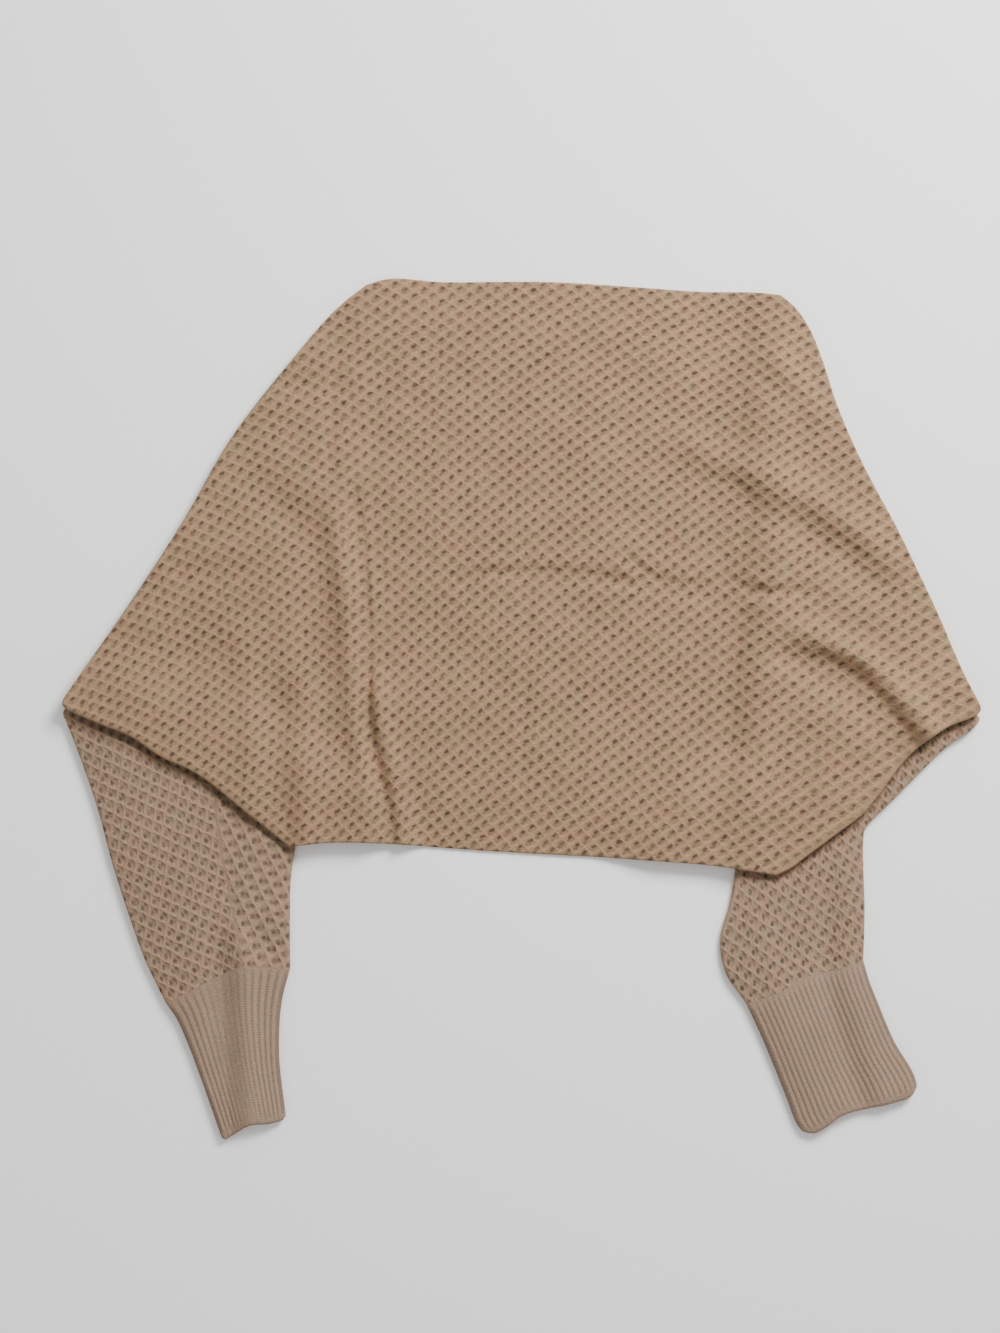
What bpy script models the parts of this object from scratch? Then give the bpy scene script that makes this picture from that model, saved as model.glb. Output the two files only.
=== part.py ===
"""Knitted shrug, laid flat with its back uppermost.

Metres, +Z up, +Y towards the neck edge, the origin at the bottom centre of the laid garment.
The back with its batwings lies over the two fronts, and its lower edges are turned under over the
flattened lower sleeves, which end in long ribbed cuffs. Tables of places are in millimetres.
"""

from collections import namedtuple

import bmesh
import bpy
import numpy as np

MM = 0.001

# The cloth: a chunky tuck knit, and the clearances between its layers and at its seams
WALL = 2.6 * MM
SEAM = 0.3 * MM
SLIT = 0.6 * MM
CUFF_SEAM = 0.45 * MM
SLEEVE_SEAM = 0.8 * MM

# How high each kind of layer lies
FRONT_TOP = WALL
TUBE_TOP = 2 * WALL + SLIT
OVER_FRONT = FRONT_TOP + SEAM
OVER_SLEEVE = TUBE_TOP + SEAM
OVER_FLAP = OVER_SLEEVE + WALL + SEAM

# The cloth turned in along the overarm folds and under the batwings, measured inward from the fold
OVERARM_FLAP = 8 * MM
ELBOW_FLAP = 6 * MM
WAIST_FLAP = 30 * MM
SLEEVE_PAST_FLAP = 3 * MM
ELBOW_RISE = 34 * MM

# Softness of the laid cloth
BATWING_LOFT = 2.6 * MM
SLEEVE_LOFT = 1.6 * MM
TUBE_RUN = 22 * MM
STEP_FULL = 15 * MM
STEP_RUN = 19 * MM
FOLD_FULL = 13 * MM
FOLD_RUN = 36 * MM
FOLD_FADE = 0.25
BLEND_POWER = 4

# Ribs of the cuffs: columns pair up as valley and crest
RIBS = {"left": 15, "right": 21}
RIB_HEIGHT = 0.9 * MM

# Mesh divisions
FOLD_COLUMNS = 11
HEM_COLUMNS = 26
BACK_COLUMNS = 2 * FOLD_COLUMNS + HEM_COLUMNS
BACK_ROWS = 28
SLEEVE_ROWS = 12
CUFF_ROWS = 6
CUFF_UNDER_STEP = 3

# Places round the back's outline, counted clockwise from the left end of the neck
RIGHT_TIP = BACK_COLUMNS + BACK_ROWS
LEFT_TIP = RIGHT_TIP + BACK_COLUMNS
RIGHT_WAIST = RIGHT_TIP + FOLD_COLUMNS
LEFT_WAIST = LEFT_TIP - FOLD_COLUMNS

# How many of those places a front stays clear of the shoulder and of the elbow
OFF_SHOULDER = 2
OFF_ELBOW = 3

# How a sleeve's hidden start widens from the elbow, as a share of the way to the waist
START_SHARE = 0.2
START_SLOPE = 1.6

ROUGHNESS = 0.95
BODY_COLOUR = "A28975"
FRONT_COLOUR = "9B8370"
SLEEVE_COLOUR = "9F8672"
CUFF_COLOUR = "9E8873"

Point = namedtuple("Point", "x y")
Fold = namedtuple("Fold", "name height half_width route")
Ring = namedtuple("Ring", "inset drop flap_inset flap_share flap_rise flap_walls")

NECK = [
    Point(-112.3, 306.9),
    Point(-98.6, 310.9),
    Point(-59.0, 309.4),
    Point(20.2, 309.4),
    Point(85.0, 305.5),
    Point(128.2, 302.4),
    Point(172.0, 301.2),
    Point(187.0, 299.2),
]
OVERARM_LEFT = [
    Point(-112.3, 306.9),
    Point(-127.2, 295.4),
    Point(-166.3, 252.2),
    Point(-210.8, 194.6),
    Point(-244.1, 136.8),
    Point(-281.5, 79.2),
    Point(-313.5, 32.5),
    Point(-333.2, 3.2),
]
OVERARM_RIGHT = [
    Point(187.0, 299.2),
    Point(197.0, 290.5),
    Point(207.0, 276.0),
    Point(216.8, 252.0),
    Point(226.2, 223.0),
    Point(238.0, 194.2),
    Point(275.0, 122.2),
    Point(302.2, 64.6),
    Point(320.5, 21.4),
    Point(333.2, -2.6),
]
FOLD_LEFT = [
    Point(-333.2, 3.2),
    Point(-304.6, -9.4),
    Point(-281.5, -18.7),
    Point(-259.9, -33.1),
    Point(-236.9, -43.8),
    Point(-197.3, -74.2),
    Point(-167.4, -98.2),
]
HEM = [
    Point(-167.4, -98.2),
    Point(-150.0, -96.0),
    Point(-90.0, -96.6),
    Point(-59.0, -99.2),
    Point(-1.4, -103.0),
    Point(77.8, -107.4),
    Point(142.6, -112.4),
    Point(183.0, -118.6),
]
FOLD_RIGHT = [
    Point(183.0, -118.6),
    Point(197.3, -113.8),
    Point(223.2, -95.0),
    Point(244.1, -76.3),
    Point(270.0, -43.2),
    Point(307.4, -14.0),
    Point(333.2, -2.6),
]

FRONT_EDGE_LEFT = [
    Point(-108.0, 283.0),
    Point(-125.0, 250.0),
    Point(-133.0, 208.8),
    Point(-136.0, 151.2),
    Point(-128.0, 79.2),
    Point(-124.0, 21.6),
    Point(-115.0, -31.0),
    Point(-107.0, -93.0),
]
FRONT_EDGE_RIGHT = [
    Point(180.0, 275.0),
    Point(173.0, 250.0),
    Point(171.0, 208.8),
    Point(172.0, 122.4),
    Point(176.0, 50.4),
    Point(172.0, -14.4),
    Point(160.0, -74.0),
]

# The arms: the places between a sleeve's start under the back and its seam with the cuff
SLEEVE_OUTER_LEFT = [
    Point(-330.6, -8.0),
    Point(-319.9, -36.0),
    Point(-301.7, -93.6),
    Point(-283.7, -151.2),
    Point(-273.4, -180.0),
]
SLEEVE_INNER_LEFT = [
    Point(-163.0, -97.9),
    Point(-166.4, -122.4),
    Point(-167.0, -151.2),
]
CUFF_BORDER_LEFT = [
    Point(-257.4, -211.6),
    Point(-239.0, -202.0),
    Point(-222.0, -193.0),
    Point(-205.0, -185.6),
    Point(-190.0, -184.0),
    Point(-166.8, -187.0),
]
CUFF_OUTER_LEFT = [
    Point(-257.4, -211.6),
    Point(-249.4, -223.2),
    Point(-242.8, -237.6),
    Point(-231.8, -266.4),
    Point(-216.2, -311.0),
]
CUFF_INNER_LEFT = [
    Point(-166.8, -187.0),
    Point(-172.4, -208.8),
    Point(-174.8, -245.0),
    Point(-169.8, -294.6),
]
CUFF_MOUTH_LEFT = [
    Point(-216.2, -311.0),
    Point(-208.0, -306.0),
    Point(-195.8, -298.8),
    Point(-181.4, -297.8),
    Point(-169.8, -294.6),
]

SLEEVE_OUTER_RIGHT = [
    Point(328.6, -10.0),
    Point(313.8, -21.6),
    Point(284.0, -51.0),
    Point(256.6, -80.0),
    Point(248.4, -102.0),
    Point(247.8, -144.0),
]
SLEEVE_INNER_RIGHT = [
    Point(153.2, -110.0),
    Point(149.8, -136.8),
    Point(142.4, -165.6),
    Point(145.6, -187.0),
]
CUFF_BORDER_RIGHT = [
    Point(246.8, -180.4),
    Point(223.2, -187.4),
    Point(204.5, -192.2),
    Point(186.0, -202.5),
    Point(161.4, -211.6),
]
CUFF_OUTER_RIGHT = [
    Point(246.8, -180.4),
    Point(250.8, -194.4),
    Point(256.4, -208.8),
    Point(268.4, -237.6),
    Point(284.4, -269.0),
]
CUFF_INNER_RIGHT = [
    Point(161.4, -211.6),
    Point(167.0, -223.2),
    Point(179.6, -252.0),
    Point(191.2, -280.8),
    Point(200.4, -304.4),
]
CUFF_MOUTH_RIGHT = [
    Point(284.4, -269.0),
    Point(275.0, -280.4),
    Point(257.8, -285.6),
    Point(236.2, -290.4),
    Point(218.0, -302.0),
    Point(200.4, -304.4),
]

FRONT_EDGES = {"left": FRONT_EDGE_LEFT, "right": FRONT_EDGE_RIGHT}
FRONT_CORNER = {"left": [Point(-152.0, -92.0)], "right": []}
SLEEVE_START = {"left": [], "right": [Point(148.5, -80.0)]}
RIGHT_HEM_OVER_SLEEVE = Point(150.0, -114.5)
ARM_TABLES = {
    "left": (
        SLEEVE_OUTER_LEFT,
        SLEEVE_INNER_LEFT,
        CUFF_BORDER_LEFT,
        CUFF_OUTER_LEFT,
        CUFF_INNER_LEFT,
        CUFF_MOUTH_LEFT,
    ),
    "right": (
        SLEEVE_OUTER_RIGHT,
        SLEEVE_INNER_RIGHT,
        CUFF_BORDER_RIGHT,
        CUFF_OUTER_RIGHT,
        CUFF_INNER_RIGHT,
        CUFF_MOUTH_RIGHT,
    ),
}

# Folds pressed or puffed into the back: height and half width in mm, a trough has a height below 0
BACK_FOLDS = [
    Fold("left soft valley", -2.4, 16, [(-181, 158), (-140, 99), (-137, 12), (-129, -60)]),
    Fold("left front edge ridge", 3.4, 11, [(-134, 146), (-123, 84), (-121, 0), (-108, -100)]),
    Fold("left hem swell", 2.2, 14, [(-92, -2), (-74, -24), (-70, -48)]),
    Fold("waist press line", 1.5, 9, [(-59, 89), (-35, 101), (66, 101), (114, 91), (186, 89)]),
    Fold("upper right valley", -2.2, 13, [(181, 233), (195, 214), (220, 185)]),
    Fold("right high fold", -2.6, 12, [(121, 189), (171, 158), (234, 130), (282, 74)]),
    Fold("right high ridge", 3.2, 14, [(157, 185), (195, 166), (229, 146), (262, 118)]),
    Fold("right elbow fold", -3.0, 12, [(166, 45), (205, 41), (258, 22), (296, -22)]),
    Fold("right elbow ridge", 4.2, 15, [(195, 84), (229, 65), (267, 36), (300, 8)]),
    Fold("right batwing swell", 2.6, 24, [(185, 8), (222, -10), (250, -40)]),
    Fold("left batwing dent", -1.6, 12, [(-237, 103), (-169, 103)]),
    Fold("left elbow dent", -1.6, 12, [(-251, 38), (-203, 38)]),
]
LEFT_TUBE_FOLDS = [
    Fold("left sleeve crease", -1.8, 9, [(-222, -108), (-198, -156), (-169, -185)]),
    Fold("left cuff trough", -1.8, 8, [(-205, -150), (-205, -240), (-203, -330)]),
]
RIGHT_TUBE_FOLDS = [
    Fold("right sleeve trough", -1.8, 9, [(224, -110), (224, -199), (234, -238), (256, -300)]),
    Fold("right sleeve swell", 0.8, 12, [(176, -150), (190, -215), (225, -280)]),
]
TUBE_FOLDS = {"left": LEFT_TUBE_FOLDS, "right": RIGHT_TUBE_FOLDS}

# The edge's section from the top of the cloth to its underside, in wall thicknesses. A plain edge
# is rounded over. Along a fold the same rings run round it and along a flap of turned-in cloth:
# flap_share is the share of the flap's length, flap_rise that of the height from flap to top.
RIM = [
    Ring(inset=1.00, drop=0.00, flap_inset=1.00, flap_share=0, flap_rise=1.00, flap_walls=0),
    Ring(inset=0.30, drop=0.12, flap_inset=0.15, flap_share=0, flap_rise=0.72, flap_walls=0),
    Ring(inset=0.00, drop=0.50, flap_inset=0.15, flap_share=0, flap_rise=0.28, flap_walls=0),
    Ring(inset=0.20, drop=1.00, flap_inset=1.00, flap_share=0, flap_rise=0.00, flap_walls=0),
    Ring(inset=0.45, drop=1.00, flap_inset=1.00, flap_share=1, flap_rise=0.00, flap_walls=0),
    Ring(inset=0.62, drop=1.00, flap_inset=1.00, flap_share=1, flap_rise=0.00, flap_walls=1),
    Ring(inset=0.80, drop=1.00, flap_inset=1.00, flap_share=0, flap_rise=0.00, flap_walls=1),
    Ring(inset=1.00, drop=1.00, flap_inset=1.00, flap_share=0, flap_rise=1.00, flap_walls=-1),
]
PLAIN_RIM = [
    Ring(inset=0.50, drop=0.00, flap_inset=0, flap_share=0, flap_rise=0, flap_walls=0),
    Ring(inset=0.00, drop=0.30, flap_inset=0, flap_share=0, flap_rise=0, flap_walls=0),
    Ring(inset=0.00, drop=0.70, flap_inset=0, flap_share=0, flap_rise=0, flap_walls=0),
    Ring(inset=0.50, drop=1.00, flap_inset=0, flap_share=0, flap_rise=0, flap_walls=0),
]

# A flattened tube's rolled sides: their inset in wall thicknesses, and their heights as shares
SIDE_INSET = 0.12
SIDE_RISES = (0.72, 0.28)


def smooth_curve(points, steps=8):
    """Return a dense polyline in metres through points given in mm."""
    knots = np.array(points, float) * MM
    if len(knots) == 2:
        return knots
    lengths = np.linalg.norm(np.diff(knots, axis=0), axis=1)
    knot_at = np.concatenate([[0.0], np.cumsum(lengths)])
    slopes = np.gradient(knots, knot_at, axis=0)
    dense = []
    for i, length in enumerate(lengths):
        t = np.arange(steps)[:, None] / steps
        dense.append(
            (1 + 2 * t) * (1 - t) ** 2 * knots[i]
            + t * (1 - t) ** 2 * length * slopes[i]
            + t**2 * (3 - 2 * t) * knots[i + 1]
            + t**2 * (t - 1) * length * slopes[i + 1]
        )
    return np.vstack(dense + [knots[-1:]])


def spread(curve, fractions):
    """Return the points at these fractions of a polyline's length."""
    lengths = np.linalg.norm(np.diff(curve, axis=0), axis=1)
    at = np.concatenate([[0.0], np.cumsum(lengths)]) / lengths.sum()
    return np.column_stack([np.interp(fractions, at, curve[:, k]) for k in (0, 1)])


def squeezed(line, inset):
    """Return a line's points drawn in from both of its ends, along it."""
    lengths = np.linalg.norm(np.diff(line, axis=0), axis=1)
    at = np.concatenate([[0.0], np.cumsum(lengths)]) / lengths.sum()
    share = inset / lengths.sum()
    return spread(line, share + (1 - 2 * share) * at)


def even(curve, count):
    """Return count + 1 points evenly spaced along a polyline."""
    return spread(curve, np.linspace(0, 1, count + 1))


def chained(*runs):
    """Join runs of points whose ends coincide."""
    return np.vstack([runs[0]] + [run[1:] for run in runs[1:]])


def patch(top, bottom, left, right):
    """Fill four sides with a transfinite grid of points, indexed across and then down."""
    u = np.linspace(0, 1, len(top))[:, None, None]
    v = np.linspace(0, 1, len(left))[None, :, None]
    ruled = (1 - v) * top[:, None] + v * bottom[:, None] + (1 - u) * left[None] + u * right[None]
    corners = (
        (1 - u) * (1 - v) * top[0]
        + u * (1 - v) * top[-1]
        + (1 - u) * v * bottom[0]
        + u * v * bottom[-1]
    )
    return ruled - corners


def smoothstep(x):
    """Rise from 0 at 0 to 1 at 1."""
    x = np.clip(x, 0, 1)
    return x * x * (3 - 2 * x)


def distance_to(xy, line):
    """Return the distance from each point to a polyline, and how far along it the nearest lies."""
    starts, ends = line[:-1], line[1:]
    spans = ends - starts
    sizes = (spans**2).sum(1)
    offsets = xy[..., None, :] - starts
    t = np.clip((offsets * spans).sum(-1) / sizes, 0, 1)
    gaps = np.linalg.norm(offsets - t[..., None] * spans, axis=-1)
    nearest = gaps.argmin(-1)
    lengths = np.sqrt(sizes)
    before = np.concatenate([[0.0], np.cumsum(lengths)])[:-1]
    along = before[nearest] + np.take_along_axis(t, nearest[..., None], -1)[..., 0] * lengths[nearest]
    return gaps.min(-1), along / lengths.sum()


def fold_relief(xy, folds):
    """Sum the ridges and troughs of a table of folds, which fade out towards their ends."""
    relief = np.zeros(xy.shape[:-1])
    for fold in folds:
        gap, along = distance_to(xy, smooth_curve(fold.route))
        fade = smoothstep(along / FOLD_FADE) * smoothstep((1 - along) / FOLD_FADE)
        relief += fold.height * MM * fade * np.exp(-((gap / (fold.half_width * MM)) ** 2))
    return relief


def inward_normals(outline, corners):
    """Return mitred inward directions of a clockwise closed outline, smooth between its corners."""
    step = np.roll(outline, -1, axis=0) - outline
    step /= np.linalg.norm(step, axis=1)[:, None]
    right = np.column_stack([step[:, 1], -step[:, 0]])
    before = np.roll(right, 1, axis=0)
    mitre = (before + right) / (1 + (before * right).sum(1))[:, None]
    free = np.ones(len(outline), bool)
    free[list(corners)] = False
    for _ in range(3):
        mean = (np.roll(mitre, 1, axis=0) + 2 * mitre + np.roll(mitre, -1, axis=0)) / 4
        mean /= np.linalg.norm(mean, axis=1)[:, None]
        mitre[free] = mean[free]
    return mitre


def cloth_material(name, hex_colour):
    """Return a Principled material for the knit."""
    material = bpy.data.materials.new(name)
    material.use_nodes = True
    shader = material.node_tree.nodes["Principled BSDF"]
    channels = [int(hex_colour[i : i + 2], 16) / 255 for i in (0, 2, 4)]
    linear = [c / 12.92 if c <= 0.04045 else ((c + 0.055) / 1.055) ** 2.4 for c in channels]
    shader.inputs["Base Color"].default_value = (*linear, 1)
    shader.inputs["Roughness"].default_value = ROUGHNESS
    shader.inputs["Metallic"].default_value = 0
    return material


def add_object(name, mesh_builder, material):
    """Turn a bmesh into a named object with its faces pointing out."""
    bmesh.ops.recalc_face_normals(mesh_builder, faces=mesh_builder.faces)
    if mesh_builder.calc_volume(signed=True) < 0:
        bmesh.ops.reverse_faces(mesh_builder, faces=mesh_builder.faces)
    mesh = bpy.data.meshes.new(name)
    mesh_builder.to_mesh(mesh)
    mesh_builder.free()
    mesh.materials.append(material)
    mesh.shade_smooth()
    item = bpy.data.objects.new(name, mesh)
    bpy.context.collection.objects.link(item)
    return item


def add_points(builder, xy, z):
    """Add a vertex for each point, and return them in an array of the same shape."""
    verts = np.empty(xy.shape[:-1], object)
    for index in np.ndindex(verts.shape):
        verts[index] = builder.verts.new((*xy[index], z[index]))
    return verts


def add_grid(builder, verts):
    """Fill a two-dimensional array of vertices with quads."""
    for i in range(verts.shape[0] - 1):
        for j in range(verts.shape[1] - 1):
            builder.faces.new((verts[i, j], verts[i, j + 1], verts[i + 1, j + 1], verts[i + 1, j]))


def border(grid):
    """Return a grid's outer points, clockwise from its first corner."""
    return np.concatenate([grid[:, 0], grid[-1, 1:], grid[-2::-1, -1], grid[0, -2:0:-1]])


def slab(name, outline, normals, columns, heights, rim, material, flaps=None):
    """Make a sheet of cloth inside a clockwise outline that starts at its first corner.

    heights gives the underside's height at points. flaps, if given, holds for each point of the
    outline whether it is a fold, how far its cloth is turned in, and how high the turned cloth lies.
    """
    low = len(outline) // 2
    inner = outline + normals * (rim[0].inset * WALL)
    grid = patch(
        inner[: columns + 1],
        inner[low : low + columns + 1][::-1],
        np.vstack([inner[:1], inner[low + columns :][::-1]]),
        inner[columns : low + 1],
    )
    under = heights(grid)
    builder = bmesh.new()
    top_verts = add_points(builder, grid, under + WALL)
    under_verts = add_points(builder, grid, under)
    add_grid(builder, top_verts)
    add_grid(builder, under_verts)
    edge_top = border(under) + WALL
    rings = [border(top_verts)]
    for ring in rim[1:-1]:
        inset = np.full(len(outline), ring.inset * WALL)
        z = edge_top - ring.drop * WALL
        if flaps:
            turned = ring.flap_inset * WALL + ring.flap_share * flaps["length"]
            level = flaps["floor"] + ring.flap_walls * WALL
            level += ring.flap_rise * (edge_top - flaps["floor"])
            inset = np.where(flaps["fold"], turned, inset)
            z = np.where(flaps["fold"], level, z)
        rings.append(add_points(builder, outline + normals * inset[:, None], z))
    rings.append(border(under_verts))
    add_grid(builder, np.array([np.append(ring, ring[0]) for ring in rings]))
    return add_object(name, builder, material)


def tube(name, sides, crown, under_step, material, rib_height=0.0):
    """Make a flattened tube open at both ends, from its start, end, outer and inner sides.

    crown gives the height of the upper layer's outer face at points, from their place across.
    A rib stands on every second column of that face.
    """
    plan = patch(*sides)
    across = plan[-1] - plan[0]
    across = across / np.linalg.norm(across, axis=1)[:, None]
    places = np.linspace(0, 1, len(plan))[:, None]
    main = np.stack([squeezed(plan[:, row], WALL) for row in range(plan.shape[1])], axis=1)
    height = crown(main, places)
    ribs = rib_height * (np.arange(len(plan)) % 2)[:, None]
    base = main[::under_step]
    flat = np.zeros(base.shape[:-1])
    builder = bmesh.new()
    upper_out = add_points(builder, main, height + ribs)
    upper_in = add_points(builder, main, height - WALL)
    lower_in = add_points(builder, base, flat + WALL)
    lower_out = add_points(builder, base, flat)
    for layer in (upper_out, upper_in, lower_in, lower_out):
        add_grid(builder, layer)
    sides_run = {}
    for end, sign in ((0, 1), (-1, -1)):
        edge = plan[end] + across * (SIDE_INSET * WALL * sign)
        sides_run[end] = [add_points(builder, edge, height[end] * rise) for rise in SIDE_RISES]
        add_grid(builder, np.array([upper_out[end], *sides_run[end], lower_out[end]]))
        add_grid(builder, np.array([upper_in[end], lower_in[end]]))
    for row in (0, -1):
        add_grid(builder, np.array([upper_out[:, row], upper_in[:, row]]))
        add_grid(builder, np.array([lower_out[:, row], lower_in[:, row]]))
        for end, run in sides_run.items():
            rolled = [verts[row] for verts in run]
            flat_end = [lower_out[end, row], lower_in[end, row], upper_in[end, row]]
            builder.faces.new([upper_out[end, row], *rolled, *flat_end])
    return add_object(name, builder, material)


def back_outline():
    """Return the back's outline: neck, right overarm fold, lower edge, left overarm fold."""
    neck = even(smooth_curve(NECK), BACK_COLUMNS)
    right = even(smooth_curve(OVERARM_RIGHT), BACK_ROWS)
    lower = chained(
        even(smooth_curve(FOLD_LEFT), FOLD_COLUMNS),
        even(smooth_curve(HEM), HEM_COLUMNS),
        even(smooth_curve(FOLD_RIGHT), FOLD_COLUMNS),
    )
    left = even(smooth_curve(OVERARM_LEFT), BACK_ROWS)
    return chained(neck, right, lower[::-1], left[::-1])[:-1]


def back_flaps(outline):
    """Work out, round the back's outline, where it is folded and how its cloth is turned in."""
    index = np.arange(len(outline))
    fold = (index > BACK_COLUMNS) & (index <= RIGHT_WAIST) | (index >= LEFT_WAIST)
    length = np.full(len(outline), OVERARM_FLAP)
    floor = np.zeros(len(outline))
    for tip, waist in ((RIGHT_TIP, RIGHT_WAIST), (LEFT_TIP, LEFT_WAIST)):
        from_tip = np.abs(index - tip) / FOLD_COLUMNS
        lower = (index >= min(tip, waist)) & (index <= max(tip, waist))
        length = np.where(lower, ELBOW_FLAP + (WAIST_FLAP - ELBOW_FLAP) * from_tip, length)
        near = np.linalg.norm(outline - outline[tip], axis=1)
        lift = smoothstep((ELBOW_RISE - near) / (ELBOW_RISE - OVERARM_FLAP))
        floor = np.where(lower, OVER_SLEEVE, np.maximum(floor, OVER_SLEEVE * lift))
    return {"fold": fold, "length": length, "floor": floor}


def sleeve_reach(tip, waist, outline, normals, flaps, gap=0.0):
    """Return the line under a batwing where its sleeve ends, from the elbow to the waist."""
    order = np.linspace(tip, waist, FOLD_COLUMNS + 1).round().astype(int)
    share = np.linspace(0, 1, FOLD_COLUMNS + 1)
    past_flap = WALL + flaps["length"][order] + SLEEVE_PAST_FLAP
    reach = np.maximum(WALL, past_flap * smoothstep(START_SHARE + START_SLOPE * share)) + gap
    return outline[order] + normals[order] * reach[:, None]


def front_step(xy, front_edge, facing):
    """Return how far the back is lifted by a front beneath it, from 0 to 1."""
    edge = smooth_curve(front_edge)
    order = edge[:, 1].argsort()
    edge_x = np.interp(xy[..., 1], edge[order, 1], edge[order, 0])
    past = (xy[..., 0] - edge_x) * facing
    return 1 - smoothstep((past - STEP_FULL) / STEP_RUN)


def fold_step(xy, line):
    """Return how far the back is lifted over a turned-in flap, from 0 to 1."""
    gap, along = distance_to(xy, line)
    full = FOLD_FULL + ELBOW_FLAP + (WAIST_FLAP - ELBOW_FLAP) * along
    return 1 - smoothstep((gap - full) / FOLD_RUN)


def back_heights(xy):
    """Return the height of the back's underside: over its layers, lofted and folded."""
    over_fronts = np.maximum(
        front_step(xy, FRONT_EDGE_LEFT, 1),
        front_step(xy, FRONT_EDGE_RIGHT, -1),
    )
    over_folds = np.maximum(
        fold_step(xy, smooth_curve(FOLD_LEFT)),
        fold_step(xy, smooth_curve(FOLD_RIGHT[::-1] + [RIGHT_HEM_OVER_SLEEVE])),
    )
    power = BLEND_POWER
    lifts = (OVER_FRONT * over_fronts) ** power + (OVER_FLAP * over_folds) ** power
    support = lifts ** (1 / power)
    return support + np.maximum(BATWING_LOFT * over_fronts + fold_relief(xy, BACK_FOLDS), 0)


def clear_of_back(xy):
    """Return how far points are out from under the back, from 0 to 1."""
    lower = chained(smooth_curve(FOLD_LEFT), smooth_curve(HEM), smooth_curve(FOLD_RIGHT))
    edge_y = np.interp(xy[..., 0], lower[:, 0], lower[:, 1])
    gap, _ = distance_to(xy, lower)
    return np.where(xy[..., 1] < edge_y, smoothstep((gap - SLIT) / TUBE_RUN), 0)


def tube_crown(folds):
    """Return the height of a flattened tube's upper face, puffed where it lies in the open."""

    def crown(xy, places):
        puff = SLEEVE_LOFT * (1 - (2 * places - 1) ** 4) + fold_relief(xy, folds)
        return TUBE_TOP + clear_of_back(xy) * np.maximum(puff, 0)

    return crown


def on_floor(xy):
    """Return a height of nothing at every point."""
    return np.zeros(xy.shape[:-1])


def make_front(side, overarm, reach, corner, free_edge, material):
    """Make a front: a flat wall under the back, from the overarm flap to its free edge."""
    edge = even(smooth_curve(free_edge), len(overarm) - 1)
    lower = np.vstack([overarm[-1:], reach, corner, edge[-1:]])
    columns = len(lower) - 1
    top = even(np.vstack([overarm[:1], edge[:1]]), columns)
    outline = chained(top, edge, lower[::-1], overarm[::-1])[:-1]
    if side == "right":
        outline = np.vstack([outline[columns::-1], outline[:columns:-1]])
    low = len(outline) // 2
    normals = inward_normals(outline, {0, columns, low, low + columns})
    slab(f"front_{side}", outline, normals, columns, on_floor, PLAIN_RIM, material)


def make_arm(side, reach, tables, folds):
    """Make a lower sleeve and its ribbed cuff, from the line where the sleeve starts."""
    outer, inner, seam, cuff_outer, cuff_inner, mouth = tables
    columns = len(reach) - 1
    border_line = smooth_curve(seam)
    start = [Point(*(reach[0] / MM)), Point(*(reach[-1] / MM))]
    sleeve_sides = (
        reach,
        even(border_line, columns),
        even(smooth_curve([start[0], *outer, seam[0]]), SLEEVE_ROWS),
        even(smooth_curve([start[1], *inner, seam[-1]]), SLEEVE_ROWS),
    )
    crown = tube_crown(folds)
    knit = cloth_material(f"knit_sleeve_{side}", SLEEVE_COLOUR)
    tube(f"sleeve_{side}", sleeve_sides, crown, 1, knit)
    mouth_line = smooth_curve(mouth)
    away = mouth_line.mean(0) - border_line.mean(0)
    away *= CUFF_SEAM / np.linalg.norm(away)
    cuff_sides = (
        even(border_line, 2 * RIBS[side]) + away,
        even(mouth_line, 2 * RIBS[side]),
        even(smooth_curve(cuff_outer), CUFF_ROWS),
        even(smooth_curve(cuff_inner), CUFF_ROWS),
    )
    for edge in cuff_sides[2:]:
        edge[0] += away
    rib = cloth_material(f"rib_cuff_{side}", CUFF_COLOUR)
    tube(f"cuff_{side}", cuff_sides, crown, CUFF_UNDER_STEP, rib, RIB_HEIGHT)


def centre_on_floor():
    """Move the finished meshes so that the middle of the laid garment is over the origin."""
    meshes = [item.data for item in bpy.data.objects if item.type == "MESH"]
    corners = np.array([vert.co for mesh in meshes for vert in mesh.vertices])
    middle = (corners.min(0) + corners.max(0)) / 2
    for mesh in meshes:
        for vert in mesh.vertices:
            vert.co.x -= middle[0]
            vert.co.y -= middle[1]


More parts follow.
